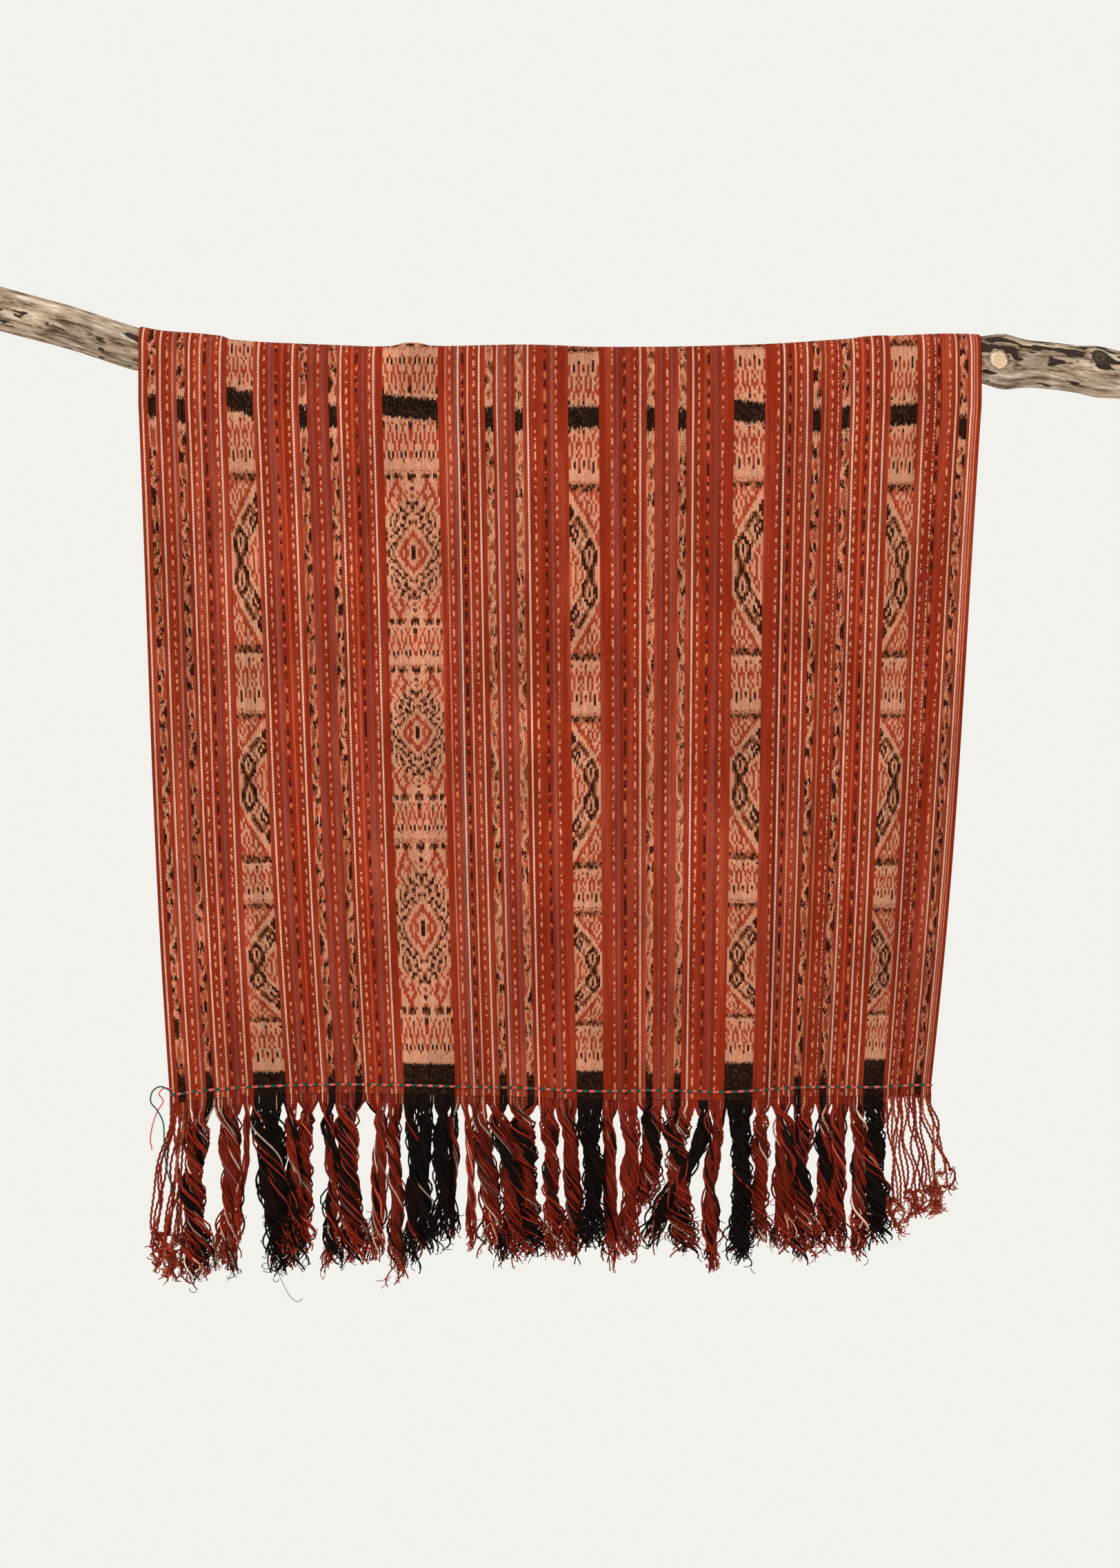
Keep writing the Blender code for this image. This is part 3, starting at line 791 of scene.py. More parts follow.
def band_weave(number):
    """An ikat band: its own milestones turn the distance from its black middle into chart rows."""
    left, right, side, mid_left, mid_right, first, *marks, end = BANDS[number]
    chart_jitter, middle_jitter = BAND_JITTER
    weave = Weave(f"ikat band {number + 1}")
    slant = (weave.math("FRACT", weave.chart_place) - 0.5) * BUNDLE_SLANT
    middle = (mid_left + mid_right) / 2 * MM
    distance = abs(weave.jittered(chart_jitter) + slant - middle)
    turn = LOZENGE_ROWS / len(WIDE_CHART)
    stops = [(0.0, turn), (first / CHART_SPAN, turn)]
    for dark_start, centre, dark_end in zip(marks[0::3], marks[1::3], marks[2::3]):
        stops += [(dark_start / CHART_SPAN - 0.004, 0.999), (dark_start / CHART_SPAN, turn)]
        stops += [(centre / CHART_SPAN, 0.0), (dark_end / CHART_SPAN, turn)]
    stops += [(end / CHART_SPAN, 0.999)]
    row = weave.ramp(distance * (1 / (CHART_SPAN * MM)), stops)
    level = weave.chart_level(WIDE_CHART if side == "middle" else NARROW_CHART, row)
    from_middle = abs(weave.jittered(middle_jitter) - weave.middle)
    colour = weave.level_to_colour(level)
    colour = weave.black_past(colour, 0.0 - from_middle, -BLACK_HALF * MM)
    weave.shade(weave.black_past(colour, distance, (end + 4) * MM))
    return weave.material


def cloth_weaves():
    """The cloth's materials by finish, in the order of the mesh's slots."""
    weaves = {
        "plain": plain_weave(),
        "corded": corded_weave(),
        "dots": dotted_weave("spotted warp", DOT_STOPS, DOT_REPEAT),
        "ticks": dotted_weave("ticked warp", TICK_STOPS, TICK_REPEAT),
        "dark dots": dotted_weave("dark spotted warp", DARK_STOPS, DARK_REPEAT),
        "small ikat": small_ikat_weave(),
    }
    for number in range(len(BANDS)):
        weaves[f"band {number}"] = band_weave(number)
    return weaves


def stripe_plan():
    """Every stripe and the ground between, left to right.

    Each row is left, right, finish, colour, phase, chart column at its left and right, and black
    middle at its left and right, in millimetres from the left selvedge.
    """
    marked = []
    middles = iter(IKAT_MIDDLES)
    for number, entry in enumerate(STRIPES.split(", ")):
        kind, place = entry.split()
        width, finish, colour = STRIPE_KINDS[kind]
        middle = next(middles) if finish == "small ikat" else 0.0
        edges = (float(place) - width / 2, float(place) + width / 2)
        columns = (0, SMALL_BUNDLES) if number % 2 else (SMALL_BUNDLES, 0)
        marked.append((*edges, finish, colour, number * PHASE_STEP % 1, *columns, middle, middle))
    for number, (left, right, side, mid_left, mid_right, *_) in enumerate(BANDS):
        looks = (f"band {number}", GROUND, 0.0)
        if side == "middle":
            centre = (left + right) / 2
            middle = (mid_left + mid_right) / 2
            marked.append((left, centre, *looks, BUNDLES, 0, mid_left, middle))
            marked.append((centre, right, *looks, 0, BUNDLES, middle, mid_right))
        else:
            columns = (0, BUNDLES) if side == "left" else (BUNDLES, 0)
            marked.append((left, right, *looks, *columns, mid_left, mid_right))
    marked.sort()
    rows = []
    reached = 0.0
    for left, right, *rest in marked + [(2 * SELVEDGE / MM, 2 * SELVEDGE / MM)]:
        left = max(left, reached)
        if left > reached:
            rows.append((reached, left, "plain", GROUND, 0.0, 0, 0, 0, 0))
        if rest:
            rows.append((left, right, *rest))
        reached = right
    return rows


def cloth_columns(widest):
    """The plan's rows, the wide ones split evenly so that none is wider than widest."""
    split = []
    for left, right, finish, colour, phase, chart_left, chart_right, mid_left, mid_right in stripe_plan():
        parts = max(1, math.ceil((right - left) / widest))
        marks = np.linspace((left, chart_left, mid_left), (right, chart_right, mid_right), parts + 1)
        for (left, *own_left), (right, *own_right) in zip(marks[:-1], marks[1:]):
            ends = [end for pair in zip(own_left, own_right) for end in pair]
            split.append((left, right, finish, colour, phase, *ends))
    return split


def stripe_colours(flat, rng):
    """Colour of each fringe yarn: from the stripe that it leaves, and a few others by chance."""
    plan = stripe_plan()
    edges = np.array([row[0] for row in plan])
    own = []
    for _, _, finish, colour, *_ in plan:
        if finish.startswith("band") or finish == "small ikat":
            colour = BLACK_YARN
        elif finish == "plain" and colour == GROUND:
            colour = RED_YARN
        elif finish in ("dots", "dark dots", "ticks"):
            colour = SPOTTED_YARN
        own.append(linear(colour))
    number = np.clip(np.searchsorted(edges, flat / MM + SELVEDGE / MM, "right") - 1, 0, len(plan) - 1)
    colours = np.array(own)[number]
    pale = colours[:, 2] > 0.2
    colours[pale & (rng.random(len(flat)) < 0.3)] = linear(RED_YARN)
    for share, colour in ((0.09, DARK_YARN), (0.03, GREY_YARN)):
        colours[rng.random(len(flat)) < share] = linear(colour)
    return colours * rng.uniform(0.55, 1.25, (len(flat), 1))


def cloth_surface(flat, front_rows, arc_rows, back_rows, rng):
    """The cloth's middle surface and each point's distance below the mid-line.

    Rows climb the front from a slightly uneven edge, cross the branch and go down the back.
    """
    top = branch_height(flat)
    uneven = np.linspace(-SELVEDGE, SELVEDGE, 90)
    ragged = np.interp(flat, uneven, rng.uniform(-RAGGED, RAGGED, len(uneven))) * MM
    low = hem_height(flat) - WOVEN_END + ragged
    height = low + (top - low) * np.linspace(0, 1, front_rows + 1)[:-1, None]
    x, y, z = on_front(flat, height)
    fade = ease((-FREE_DROP - height) / CREASE_FADE)
    slack = swell(flat)
    y = y - small_rise(flat, height) * fade - slack * (1 - ease((top - height) / SWELL_DROP))
    front = np.stack([x, y, z], -1)
    front_v = MID_HEIGHT - height
    angle = np.linspace(0, np.pi, arc_rows + 1)[:-1, None]
    radius = sheet_radius(flat[None], angle) + slack
    along = np.broadcast_to(flat, radius.shape)
    arc = np.stack([along, -radius * np.cos(angle), top + radius * np.sin(angle)], -1)
    arc_v = MID_HEIGHT - top - radius * angle
    low = BACK_HEM - WOVEN_END - ragged
    height = top + (low - top) * np.linspace(0, 1, back_rows + 1)[:, None]
    x, y, z = on_back(np.broadcast_to(flat, height.shape), height)
    y = y + slack * (1 - ease((top - height) / SWELL_DROP))
    back = np.stack([x, y, z], -1)
    back_v = MID_HEIGHT - top - sheet_radius(flat, np.pi) * np.pi - (top - height)
    return np.concatenate([front, arc, back]), np.concatenate([front_v, arc_v, back_v])


class ClothSizes(PropertyGroup):
    widest_column: FloatProperty(
        name="Widest column", description="No strip of the mesh is wider than this, in millimetres",
        default=8.0, min=3.0,
    )
    front_rows: IntProperty(name="Front rows", description="Rows of the hanging front", default=122)
    arc_rows: IntProperty(name="Rows on the branch", description="Rows over the branch", default=14)
    back_rows: IntProperty(name="Back rows", description="Rows of the hanging back", default=62)
    thickness: FloatProperty(
        name="Thickness", description="Thickness of the woven cloth", default=CLOTH_THICK,
        unit="LENGTH",
    )


class MakeCloth(Operator):
    """The woven sheet, both faces and its edges, with its stripes stored on its faces"""

    bl_idname = "ikat.make_cloth"
    bl_label = "Woven cloth"

    def execute(self, context):
        sizes = context.scene.ikat_cloth
        rng = np.random.default_rng(11)
        split = cloth_columns(sizes.widest_column)
        edges = np.array([row[0] for row in split] + [split[-1][1]]) * MM - SELVEDGE
        points, below = cloth_surface(edges, sizes.front_rows, sizes.arc_rows, sizes.back_rows, rng)
        rows, columns = points.shape[:2]
        side = np.gradient(points, axis=1)
        climb = np.gradient(points, axis=0)
        out = np.cross(side, climb)
        out /= np.linalg.norm(out, axis=2, keepdims=True)
        half = np.full(columns, sizes.thickness / 2)
        half[[0, -1]] *= SELVEDGE_SHARE
        half = np.broadcast_to(half[None, :, None], (rows, columns, 1)).copy()
        half[[0, -1]] *= END_SHARE
        both = np.stack([points + out * half, points - out * half])
        outer = grid_faces(rows, columns)
        inner = grid_faces(rows, columns, rows * columns, flip=True)
        number = np.arange(2 * rows * columns).reshape(2, rows, columns)
        edge_lines = (
            (number[:, 0], 1), (number[:, -1], -1), (number[:, :, 0], -1), (number[:, :, -1], 1)
        )
        rims = []
        for (outside, inside), order in edge_lines:
            rim = np.stack([outside[:-1], inside[:-1], inside[1:], outside[1:]], -1)
            rims.append(rim[:, ::order])
        faces = np.concatenate([outer, inner, *rims])
        made = make_mesh("ikat_cloth", both, faces.tolist())
        weaves = cloth_weaves()
        finishes = list(weaves)
        for weave in weaves.values():
            made.data.materials.append(weave)
        vertex_column = faces % columns
        left = vertex_column.min(1)
        own = np.minimum(left, columns - 2)
        made.data.polygons.foreach_set(
            "material_index", np.array([finishes.index(row[2]) for row in split])[own]
        )
        paint(made, "yarn_colour", np.array([linear(row[3]) for row in split])[own], "FACE")
        phase = made.data.attributes.new("stripe_phase", "FLOAT", "FACE")
        phase.data.foreach_set("value", np.array([row[4] for row in split])[own].astype(np.float32))
        place = faces.ravel() % (rows * columns)
        flat = np.broadcast_to(edges + SELVEDGE, below.shape).ravel()[place]
        write_map(made, "cloth_flat", np.stack([flat, below.ravel()[place]], -1))
        at_right = (vertex_column > own[:, None]).ravel()
        by_corner = np.repeat(own, faces.shape[1])
        table = np.array([row[5:] for row in split])[by_corner]
        chart = np.where(at_right, table[:, 1], table[:, 0])
        chart = np.clip(chart, 0.001, BUNDLES - 0.001)
        middle = np.where(at_right, table[:, 3], table[:, 2]) * MM
        write_map(made, "chart", np.stack([chart, middle], -1))
        settle(made, "cloth")
        return {"FINISHED"}


def yarn_weave(name):
    """Twisted yarn: slanted plies as shade and bump, and slow changes of dye along it."""
    yarn = Recipe(name, 0.9)
    around, along, _ = yarn.map_place("along_yarn")
    ply = yarn.math("PINGPONG", along * (1 / PLY_LENGTH) + around, 0.5)
    dye = yarn.noise(yarn.object_place(), 90.0, 3.0)
    light = yarn.range(ply, 0.0, 0.22, 0.62, 1.08, smooth=True) * yarn.range(dye, 0.3, 0.7, 0.75, 1.2)
    yarn.paint(yarn.scaled(yarn.attribute("yarn_colour"), light))
    yarn.bump(ply, 0.5, 0.5 * MM)
    return yarn.material


def strand_line(root, foot, tip, bow, forward, ripple, phase, share):
    """Eases from root to foot, bows sideways, stands forward and ripples a little."""
    swing = np.sin(np.pi * share)
    wave = ripple * swing * np.sin(9 * share + phase)
    x = root[..., 0] + (foot - root[..., 0]) * ease(share) + bow * swing + wave
    y = root[..., 1] - forward * np.sin(np.pi / 2 * share) + wave / 2
    z = root[..., 2] + (tip - root[..., 2]) * share
    return np.stack([x, y, z], -1)


def lock_yarns(hem, flat, tops, locks, radius_of, edge, rng, steps, lock_numbers):
    """Paths of all yarns: each leaves the weave straight down and is gathered into its lock.

    A lock is two or three bundles that turn round its centre line while their own yarns turn twice as
    fast. Near the tip the yarns spread and wander. Returns the paths and, for each bundle's heart,
    which fills it, its line, its radius and the number of its middle yarn.
    """
    count = len(flat)
    roots = np.stack(hem(flat), -1)
    roots[:, 2] -= WOVEN_END - ROOT_HIDDEN
    widths = locks[:, 1] * MM
    left = tops - widths / 2
    right = tops + widths / 2
    bounds = (right[:-1] + left[1:]) / 2
    own = np.searchsorted(bounds, roots[:, 0])
    share = 1 - (1 - np.linspace(0, 1, steps)[None]) ** STEP_BUNCHING
    lock_root = np.stack(hem(edge), -1)
    lock_root[:, 0] = tops
    lock_root[:, 2] -= WOVEN_END
    shorter = rng.uniform(0, SHORTEST, count) * MM - LOW_BY * MM * (rng.random(count) < LOW_SHARE)
    tip = locks[own, 3] * MM + shorter
    centre = strand_line(
        lock_root[own][:, None], (locks[own, 2] * MM)[:, None], tip[:, None],
        (locks[own, 4] * MM)[:, None], (locks[own, 5] * MM)[:, None], 2 * MM,
        (1.7 * lock_numbers[own])[:, None], share,
    )
    centre[:, :, 2] = roots[:, None, 2] + (tip - roots[:, 2])[:, None] * share
    radius = radius_of[own][:, None] * np.interp(share, *np.array(LOCK_COURSE).T)
    in_lock = (roots[:, 0] - left[own]) / widths[own]
    parts = (2 + lock_numbers % 2)[own]
    bundle = np.clip(np.floor(in_lock * parts), 0, parts - 1)
    turns = rng.uniform(*LOCK_TURNS, len(tops))[own][:, None]
    start = rng.uniform(0, 2 * np.pi, len(tops))[own][:, None]
    twist = start + 2 * np.pi * turns * share
    around = 2 * np.pi * (bundle / parts)[:, None] + twist
    inside = rng.uniform(0, 2 * np.pi, count)[:, None] + 2 * twist
    apart = np.sqrt(rng.uniform(0.02, 1, count))[:, None]
    wide = radius * (1 + OPENING * ease((share - OPEN_FROM) / (1 - OPEN_FROM)))
    bundle_x, bundle_y = BUNDLE_REACH[0] * np.cos(around), BUNDLE_REACH[1] * np.sin(around)
    x = wide * (bundle_x + YARN_REACH[0] * apart * np.cos(inside))
    y = wide * (bundle_y + YARN_REACH[1] * apart * np.sin(inside))
    phases = rng.uniform(0, 2 * np.pi, (4, count, 1))
    stray = (rng.random(count) < STRAY_SHARE)[:, None]
    wander = np.where(stray, STRAY_WANDER, YARN_WANDER) * MM
    reach = wander * ease(share / 0.3) * (0.5 + 1.7 * share**4)
    x = x + reach * (np.sin(11 * share + phases[0]) + 0.5 * np.sin(29 * share + phases[1]))
    y = y + reach * (np.sin(12 * share + phases[2]) + 0.5 * np.sin(27 * share + phases[3])) * 0.7
    gather = ease((share - GATHER_FROM) / GATHER_LENGTH)
    paths = centre.copy()
    paths[:, :, 0] = roots[:, None, 0] * (1 - gather) + (centre[:, :, 0] + x) * gather
    paths[:, :, 1] = roots[:, None, 1] * (1 - gather) + (centre[:, :, 1] + y) * gather
    first, size = np.unique(own * 4 + bundle, return_index=True, return_counts=True)[1:]
    of_bundle = first + size // 2
    hearts = centre[of_bundle]
    hearts[:, :, 0] += (wide * bundle_x)[of_bundle]
    hearts[:, :, 1] += (wide * bundle_y)[of_bundle]
    slim = ease((share - 0.1) / 0.25) * (1 - 0.9 * ease((share - 0.62) / 0.3))
    return paths, hearts, HEART_SHARE * wide[of_bundle] * slim + 0.2 * MM, of_bundle


def wisps(paths, colours, count, rng, steps=9):
    """Fine hairs: each starts near a yarn's tip and walks off with a heading that turns evenly."""
    yarn = rng.integers(0, len(paths), count)
    where = rng.integers(int(paths.shape[1] * 0.66), paths.shape[1], count)
    start = paths[yarn, where]
    heading = -np.pi / 2 + rng.normal(0, 0.8, count)
    bend = rng.normal(0, 6.0, count)
    length = rng.uniform(6, 15, count) * MM
    share = np.linspace(0, 1, steps)[None]
    angle = heading[:, None] + bend[:, None] * share
    step = length[:, None] / steps
    x = start[:, None, 0] + np.cumsum(np.cos(angle) * step, 1)
    z = start[:, None, 2] + np.cumsum(np.sin(angle) * step, 1)
    y = start[:, None, 1] + rng.uniform(-5, 5, count)[:, None] * MM * share
    return np.stack([x, y, z], -1), np.minimum(colours[yarn] * 1.35, 1.0)


class FringeSizes(PropertyGroup):
    yarn_pitch: FloatProperty(
        name="Yarn pitch", description="Distance between warp yarns where they leave the weave",
        default=0.72 * MM, unit="LENGTH",
    )
    yarn_radius: FloatProperty(
        name="Yarn radius", description="Radius of one fringe yarn", default=1.15 * MM, unit="LENGTH",
    )
    back_pitch: FloatProperty(
        name="Back yarn pitch", description="Distance between yarns of the hidden fringe",
        default=2.1 * MM, unit="LENGTH",
    )
    wisp_count: IntProperty(name="Wisps", description="Fine hairs at the tips", default=2700)
    wisp_radius: FloatProperty(
        name="Wisp radius", description="Radius of a fine hair", default=0.55 * MM, unit="LENGTH",
    )
    string_radius: FloatProperty(
        name="String radius", description="Radius of a loose string", default=1.45 * MM, unit="LENGTH",
    )
    string_wisp_count: IntProperty(
        name="String wisps", description="Fine hairs at the loose strings' tips", default=760,
    )
    string_wisp_radius: FloatProperty(
        name="String wisp radius", description="Radius of a fine hair of a loose string",
        default=0.75 * MM, unit="LENGTH",
    )


def flat_at(along):
    """The warp line that meets the front hem at this place."""
    return np.interp(along, WARP_AT_HEM, WARP_ON_BRANCH)


def front_hem(flat):
    """Points of the front hem."""
    return on_front(flat, hem_height(flat))


def back_hem(flat):
    """Points of the back hem."""
    return on_back(flat, np.full_like(flat, BACK_HEM))


class MakeFrontFringe(Operator):
    """All yarns of the front fringe, gathered into twisted locks, with frayed tips"""

    bl_idname = "ikat.make_front_fringe"
    bl_label = "Front fringe"

    def execute(self, context):
        sizes = context.scene.ikat_fringe
        rng = np.random.default_rng(23)
        locks = np.array(sorted(FRONT_LOCKS), float)
        tops = locks[:, 0] * MM
        numbers = np.array([FRONT_LOCKS.index(tuple(int(n) for n in row)) for row in locks])
        first = (locks[0, 0] - locks[0, 1] / 2) * MM
        last = (locks[-1, 0] + locks[-1, 1] / 2) * MM
        flat = flat_at(np.arange(first, last, sizes.yarn_pitch))
        radius_of = (2.2 + 0.53 * locks[:, 1]) * MM
        for top, share in LOCK_FULLNESS:
            radius_of[locks[:, 0] == top] *= share
        paths, hearts, heart_radii, of_bundle = lock_yarns(
            front_hem, flat, tops, locks, radius_of, flat_at(tops), rng, 30, numbers
        )
        colours = stripe_colours(flat, rng)
        along = front_hem(flat)[0] / MM
        for place, width in BLACK_LOCKS:
            colours[np.abs(along - place) < width / 2] = linear(BLACK_YARN)
        share = np.linspace(0, 1, paths.shape[1])[None]
        radii = sizes.yarn_radius * (1 - 0.25 * ease((share - 0.7) / 0.3))
        radii = radii * rng.uniform(0.85, 1.15, (len(flat), 1))
        material = yarn_weave("fringe yarn")
        middle = len(flat) // 2
        for name, part in (("left", slice(0, middle)), ("right", slice(middle, None))):
            yarn_piece(f"front_fringe_{name}", paths[part], radii[part], 4, colours[part], material)
        # Dark filler tubes in each bundle's heart: painted shade between the yarns
        shaded_heart_colours = np.minimum(colours[of_bundle], linear(HEART_SHADE_RED)) * 0.7
        yarn_piece("front_fringe_shaded_hearts", hearts, heart_radii, 8, shaded_heart_colours, material)
        hairs, hair_colours = wisps(paths, colours, sizes.wisp_count, rng)
        yarn_piece("front_wisps", hairs, sizes.wisp_radius, 3, hair_colours, material)
        return {"FINISHED"}


class MakeStrings(Operator):
    """Loose strings at both ends of the front fringe, crimped, with curled tips"""

    bl_idname = "ikat.make_strings"
    bl_label = "Loose strings"

    def execute(self, context):
        sizes = context.scene.ikat_fringe
        rng = np.random.default_rng(31)
        share = np.linspace(0, 1, 70)[None]
        paths = []
        for first, last, count in STRING_GROUPS:
            top, foot, tip = np.linspace(first, last, count).T * MM
            roots = np.stack(front_hem(flat_at(top)), -1)
            roots[:, 0] = top
            roots[:, 2] -= WOVEN_END - ROOT_HIDDEN
            tip = tip + rng.uniform(-12, 12, count) * MM
            forward = np.where(np.arange(count) % 2, 3, -3) * MM
            line = strand_line(
                roots[:, None], foot[:, None], tip[:, None], rng.uniform(-7, 7, count)[:, None] * MM,
                forward[:, None], 3 * MM, 2.3 * np.arange(count)[:, None], share,
            )
            paths.append(line)
        paths = np.concatenate(paths)
        count = len(paths)
        phases = rng.uniform(0, 2 * np.pi, (3, count, 1))
        crimp = CRIMP_HEIGHT * ease(share / 0.1)
        turn = 2 * np.pi * CRIMPS * share + phases[0]
        paths[:, :, 0] += crimp * np.sin(turn)
        paths[:, :, 1] += crimp * np.cos(turn)
        paths[:, :, 0] += DRIFT_HEIGHT * ease(share / 0.2) * np.sin(13 * share + phases[1])
        curl = CURL_TURN * ease((share - CURL_FROM) / (1 - CURL_FROM))
        size = rng.uniform(2.5, 6, count)[:, None] * MM * rng.choice((-1, 1), count)[:, None]
        paths[:, :, 0] += size * (1 - np.cos(curl))
        paths[:, :, 2] += np.abs(size) * np.sin(curl) * 1.6
        shades = np.array([linear(shade) for shade in STRING_SHADES])
        colours = shades[rng.integers(0, len(shades), count)]
        material = yarn_weave("loose string")
        yarn_piece("loose_strings", paths, sizes.string_radius, 5, colours, material)
        hairs, hair_colours = wisps(paths[:, -24:], colours, sizes.string_wisp_count, rng)
        yarn_piece("string_wisps", hairs, sizes.string_wisp_radius, 3, hair_colours, material)
        return {"FINISHED"}


class MakeBackFringe(Operator):
    """The hidden fringe behind, in even twisted locks"""

    bl_idname = "ikat.make_back_fringe"
    bl_label = "Back fringe"

    def execute(self, context):
        sizes = context.scene.ikat_fringe
        rng = np.random.default_rng(41)
        number = np.arange(BACK_LOCKS)
        middle = -SELVEDGE + 2 * SELVEDGE * (number + 0.5) / BACK_LOCKS
        root = np.stack(back_hem(middle), -1)
        tip = root[:, 2] / MM - BACK_FRINGE_LENGTH - 9 * np.sin(5 * number)
        pitch = np.gradient(root[:, 0]) / MM
        foot = root[:, 0] / MM + 2 * np.sin(3 * number)
        bow = 2 * np.sin(7 * number)
        locks = np.stack([root[:, 0] / MM, pitch * 0.8, foot, tip, bow, 0 * number], -1)
        ends = np.array([-SELVEDGE, SELVEDGE]) * 0.995
        flat = np.arange(ends[0], ends[1], sizes.back_pitch)
        radius_of = np.full(BACK_LOCKS, BACK_LOCK_RADIUS)
        paths, *_ = lock_yarns(back_hem, flat, root[:, 0], locks, radius_of, middle, rng, 22, number)
        colours = stripe_colours(flat, rng)
        material = yarn_weave("back fringe yarn")
        yarn_piece("back_fringe_yarns", paths, sizes.yarn_radius, 4, colours, material, "back_fringe")
        return {"FINISHED"}


class TwiningSizes(PropertyGroup):
    pitch: FloatProperty(
        name="Pitch", description="Length of one full turn of the two yarns", default=13.5 * MM,
        unit="LENGTH",
    )
    radius: FloatProperty(
        name="Yarn radius", description="Mean radius of a twining yarn", default=1.3 * MM,
        unit="LENGTH",
    )
    reach: FloatProperty(
        name="Reach", description="How far a turn stands out before and behind the warp",
        default=2.3 * MM, unit="LENGTH",
    )
    pink: FloatVectorProperty(
        name="Pink yarn", description="Colour of the first twining yarn",
        default=linear((232, 92, 96)), **COLOUR,
    )
    green: FloatVectorProperty(
        name="Green yarn", description="Colour of the second twining yarn",
        default=linear((28, 92, 66)), **COLOUR,
    )


class MakeTwining(Operator):
    """Pink and green yarns that wind round the warp along both hems"""

    bl_idname = "ikat.make_twining"
    bl_label = "Twined rows"

    def execute(self, context):
        sizes = context.scene.ikat_twining
        material = yarn_weave("twining yarn")
        for side, hem, facing in (("front", front_hem, -1), ("back", back_hem, 1)):
            flat = np.linspace(-SELVEDGE, SELVEDGE, 700)
            line = np.stack(hem(flat), -1)
            gone = np.concatenate([[0], np.cumsum(np.linalg.norm(np.diff(line, axis=0), axis=1))])
            turn = 2 * np.pi * gone / sizes.pitch + 0.9 * np.sin(31 * gone) + 0.5 * np.sin(77 * gone)
            turns = np.stack([turn, turn + np.pi])
            out = sizes.reach * np.tanh(2.6 * np.cos(turns))
            lift = 0.15 * MM * np.sin(turns)
            paths = line + np.stack([0 * turns, facing * out, lift], -1)
            radii = sizes.radius * (1 + 0.34 * np.cos(turns))
            colours = np.array([sizes.pink[:], sizes.green[:]])
            name, node = f"{side}_twined_row", f"{side}_twining"
            yarn_piece(name, paths, radii, 8, colours, material, node)
        return {"FINISHED"}


def smooth_line(places, steps):
    """A curve through the places: cubic pieces whose slope at a place is half the chord across it."""
    places = np.array(places, float)
    padded = np.concatenate([2 * places[:1] - places[1:2], places, 2 * places[-1:] - places[-2:-1]])
    where = np.linspace(0, len(places) - 1, steps)
    number = np.minimum(where.astype(int), len(places) - 2)
    t = (where - number)[:, None]
    a, b, c, d = (padded[number + k] for k in range(4))
    return 0.5 * (
        2 * b + (c - a) * t + (2 * a - 5 * b + 4 * c - d) * t**2 + (3 * b - a - 3 * c + d) * t**3
    )


class MakeStrayThreads(Operator):
    """Three stray threads: ends of the twining yarns and a thin grey one"""

    bl_idname = "ikat.make_stray_threads"
    bl_label = "Stray threads"

    def execute(self, context):
        paths = []
        for _, _, places in STRAY_THREADS:
            line = smooth_line(places, 80) * MM
            flat = flat_at(line[:, 0])
            face = on_front(flat, np.maximum(line[:, 1], hem_height(flat)))
            paths.append(np.stack([line[:, 0], face[1] - line[:, 2], line[:, 1]], -1))
        radii = np.array([[radius] for _, radius, _ in STRAY_THREADS]) * MM
        colours = np.array([linear(colour) for colour, _, _ in STRAY_THREADS])
        yarn_piece("stray_threads", np.array(paths), radii, 6, colours, yarn_weave("stray thread"))
        return {"FINISHED"}


class BranchSizes(PropertyGroup):
    rings: IntProperty(name="Rings", description="Rings along the branch", default=620)
    sides: IntProperty(name="Sides", description="Points round each ring", default=72)
    grey_wood: FloatVectorProperty(
        name="Grey wood", description="Weathered surface colour", default=linear((180, 160, 138)),
        **COLOUR,
    )
    pale_wood: FloatVectorProperty(
        name="Pale wood", description="Colour of the worn ridges", default=linear((228, 214, 196)),
        **COLOUR,
    )
    dark_grain: FloatVectorProperty(
        name="Dark grain", description="Colour in the cracks", default=linear((88, 70, 54)), **COLOUR,
    )
    bark: FloatVectorProperty(
        name="Bark", description="Colour of the bark left on the wood", default=linear((60, 48, 41)),
        **COLOUR,
    )


def branch_relief(along, angle, rng):
    """Furrows that run along the wood: sines round the branch that drift slowly along it."""
    relief = 0.0
    for waves in (3, 5, 7, 11, 16, 23):
        drift = rng.uniform(-9, 9)
        wander = 0.7 * np.sin(rng.uniform(5, 14) * along + rng.uniform(0, 6))
        depth = 0.55 * MM / (1 + 0.12 * waves)
        relief = relief + depth * np.sin(waves * angle + drift * along + wander + rng.uniform(0, 6))
    return relief


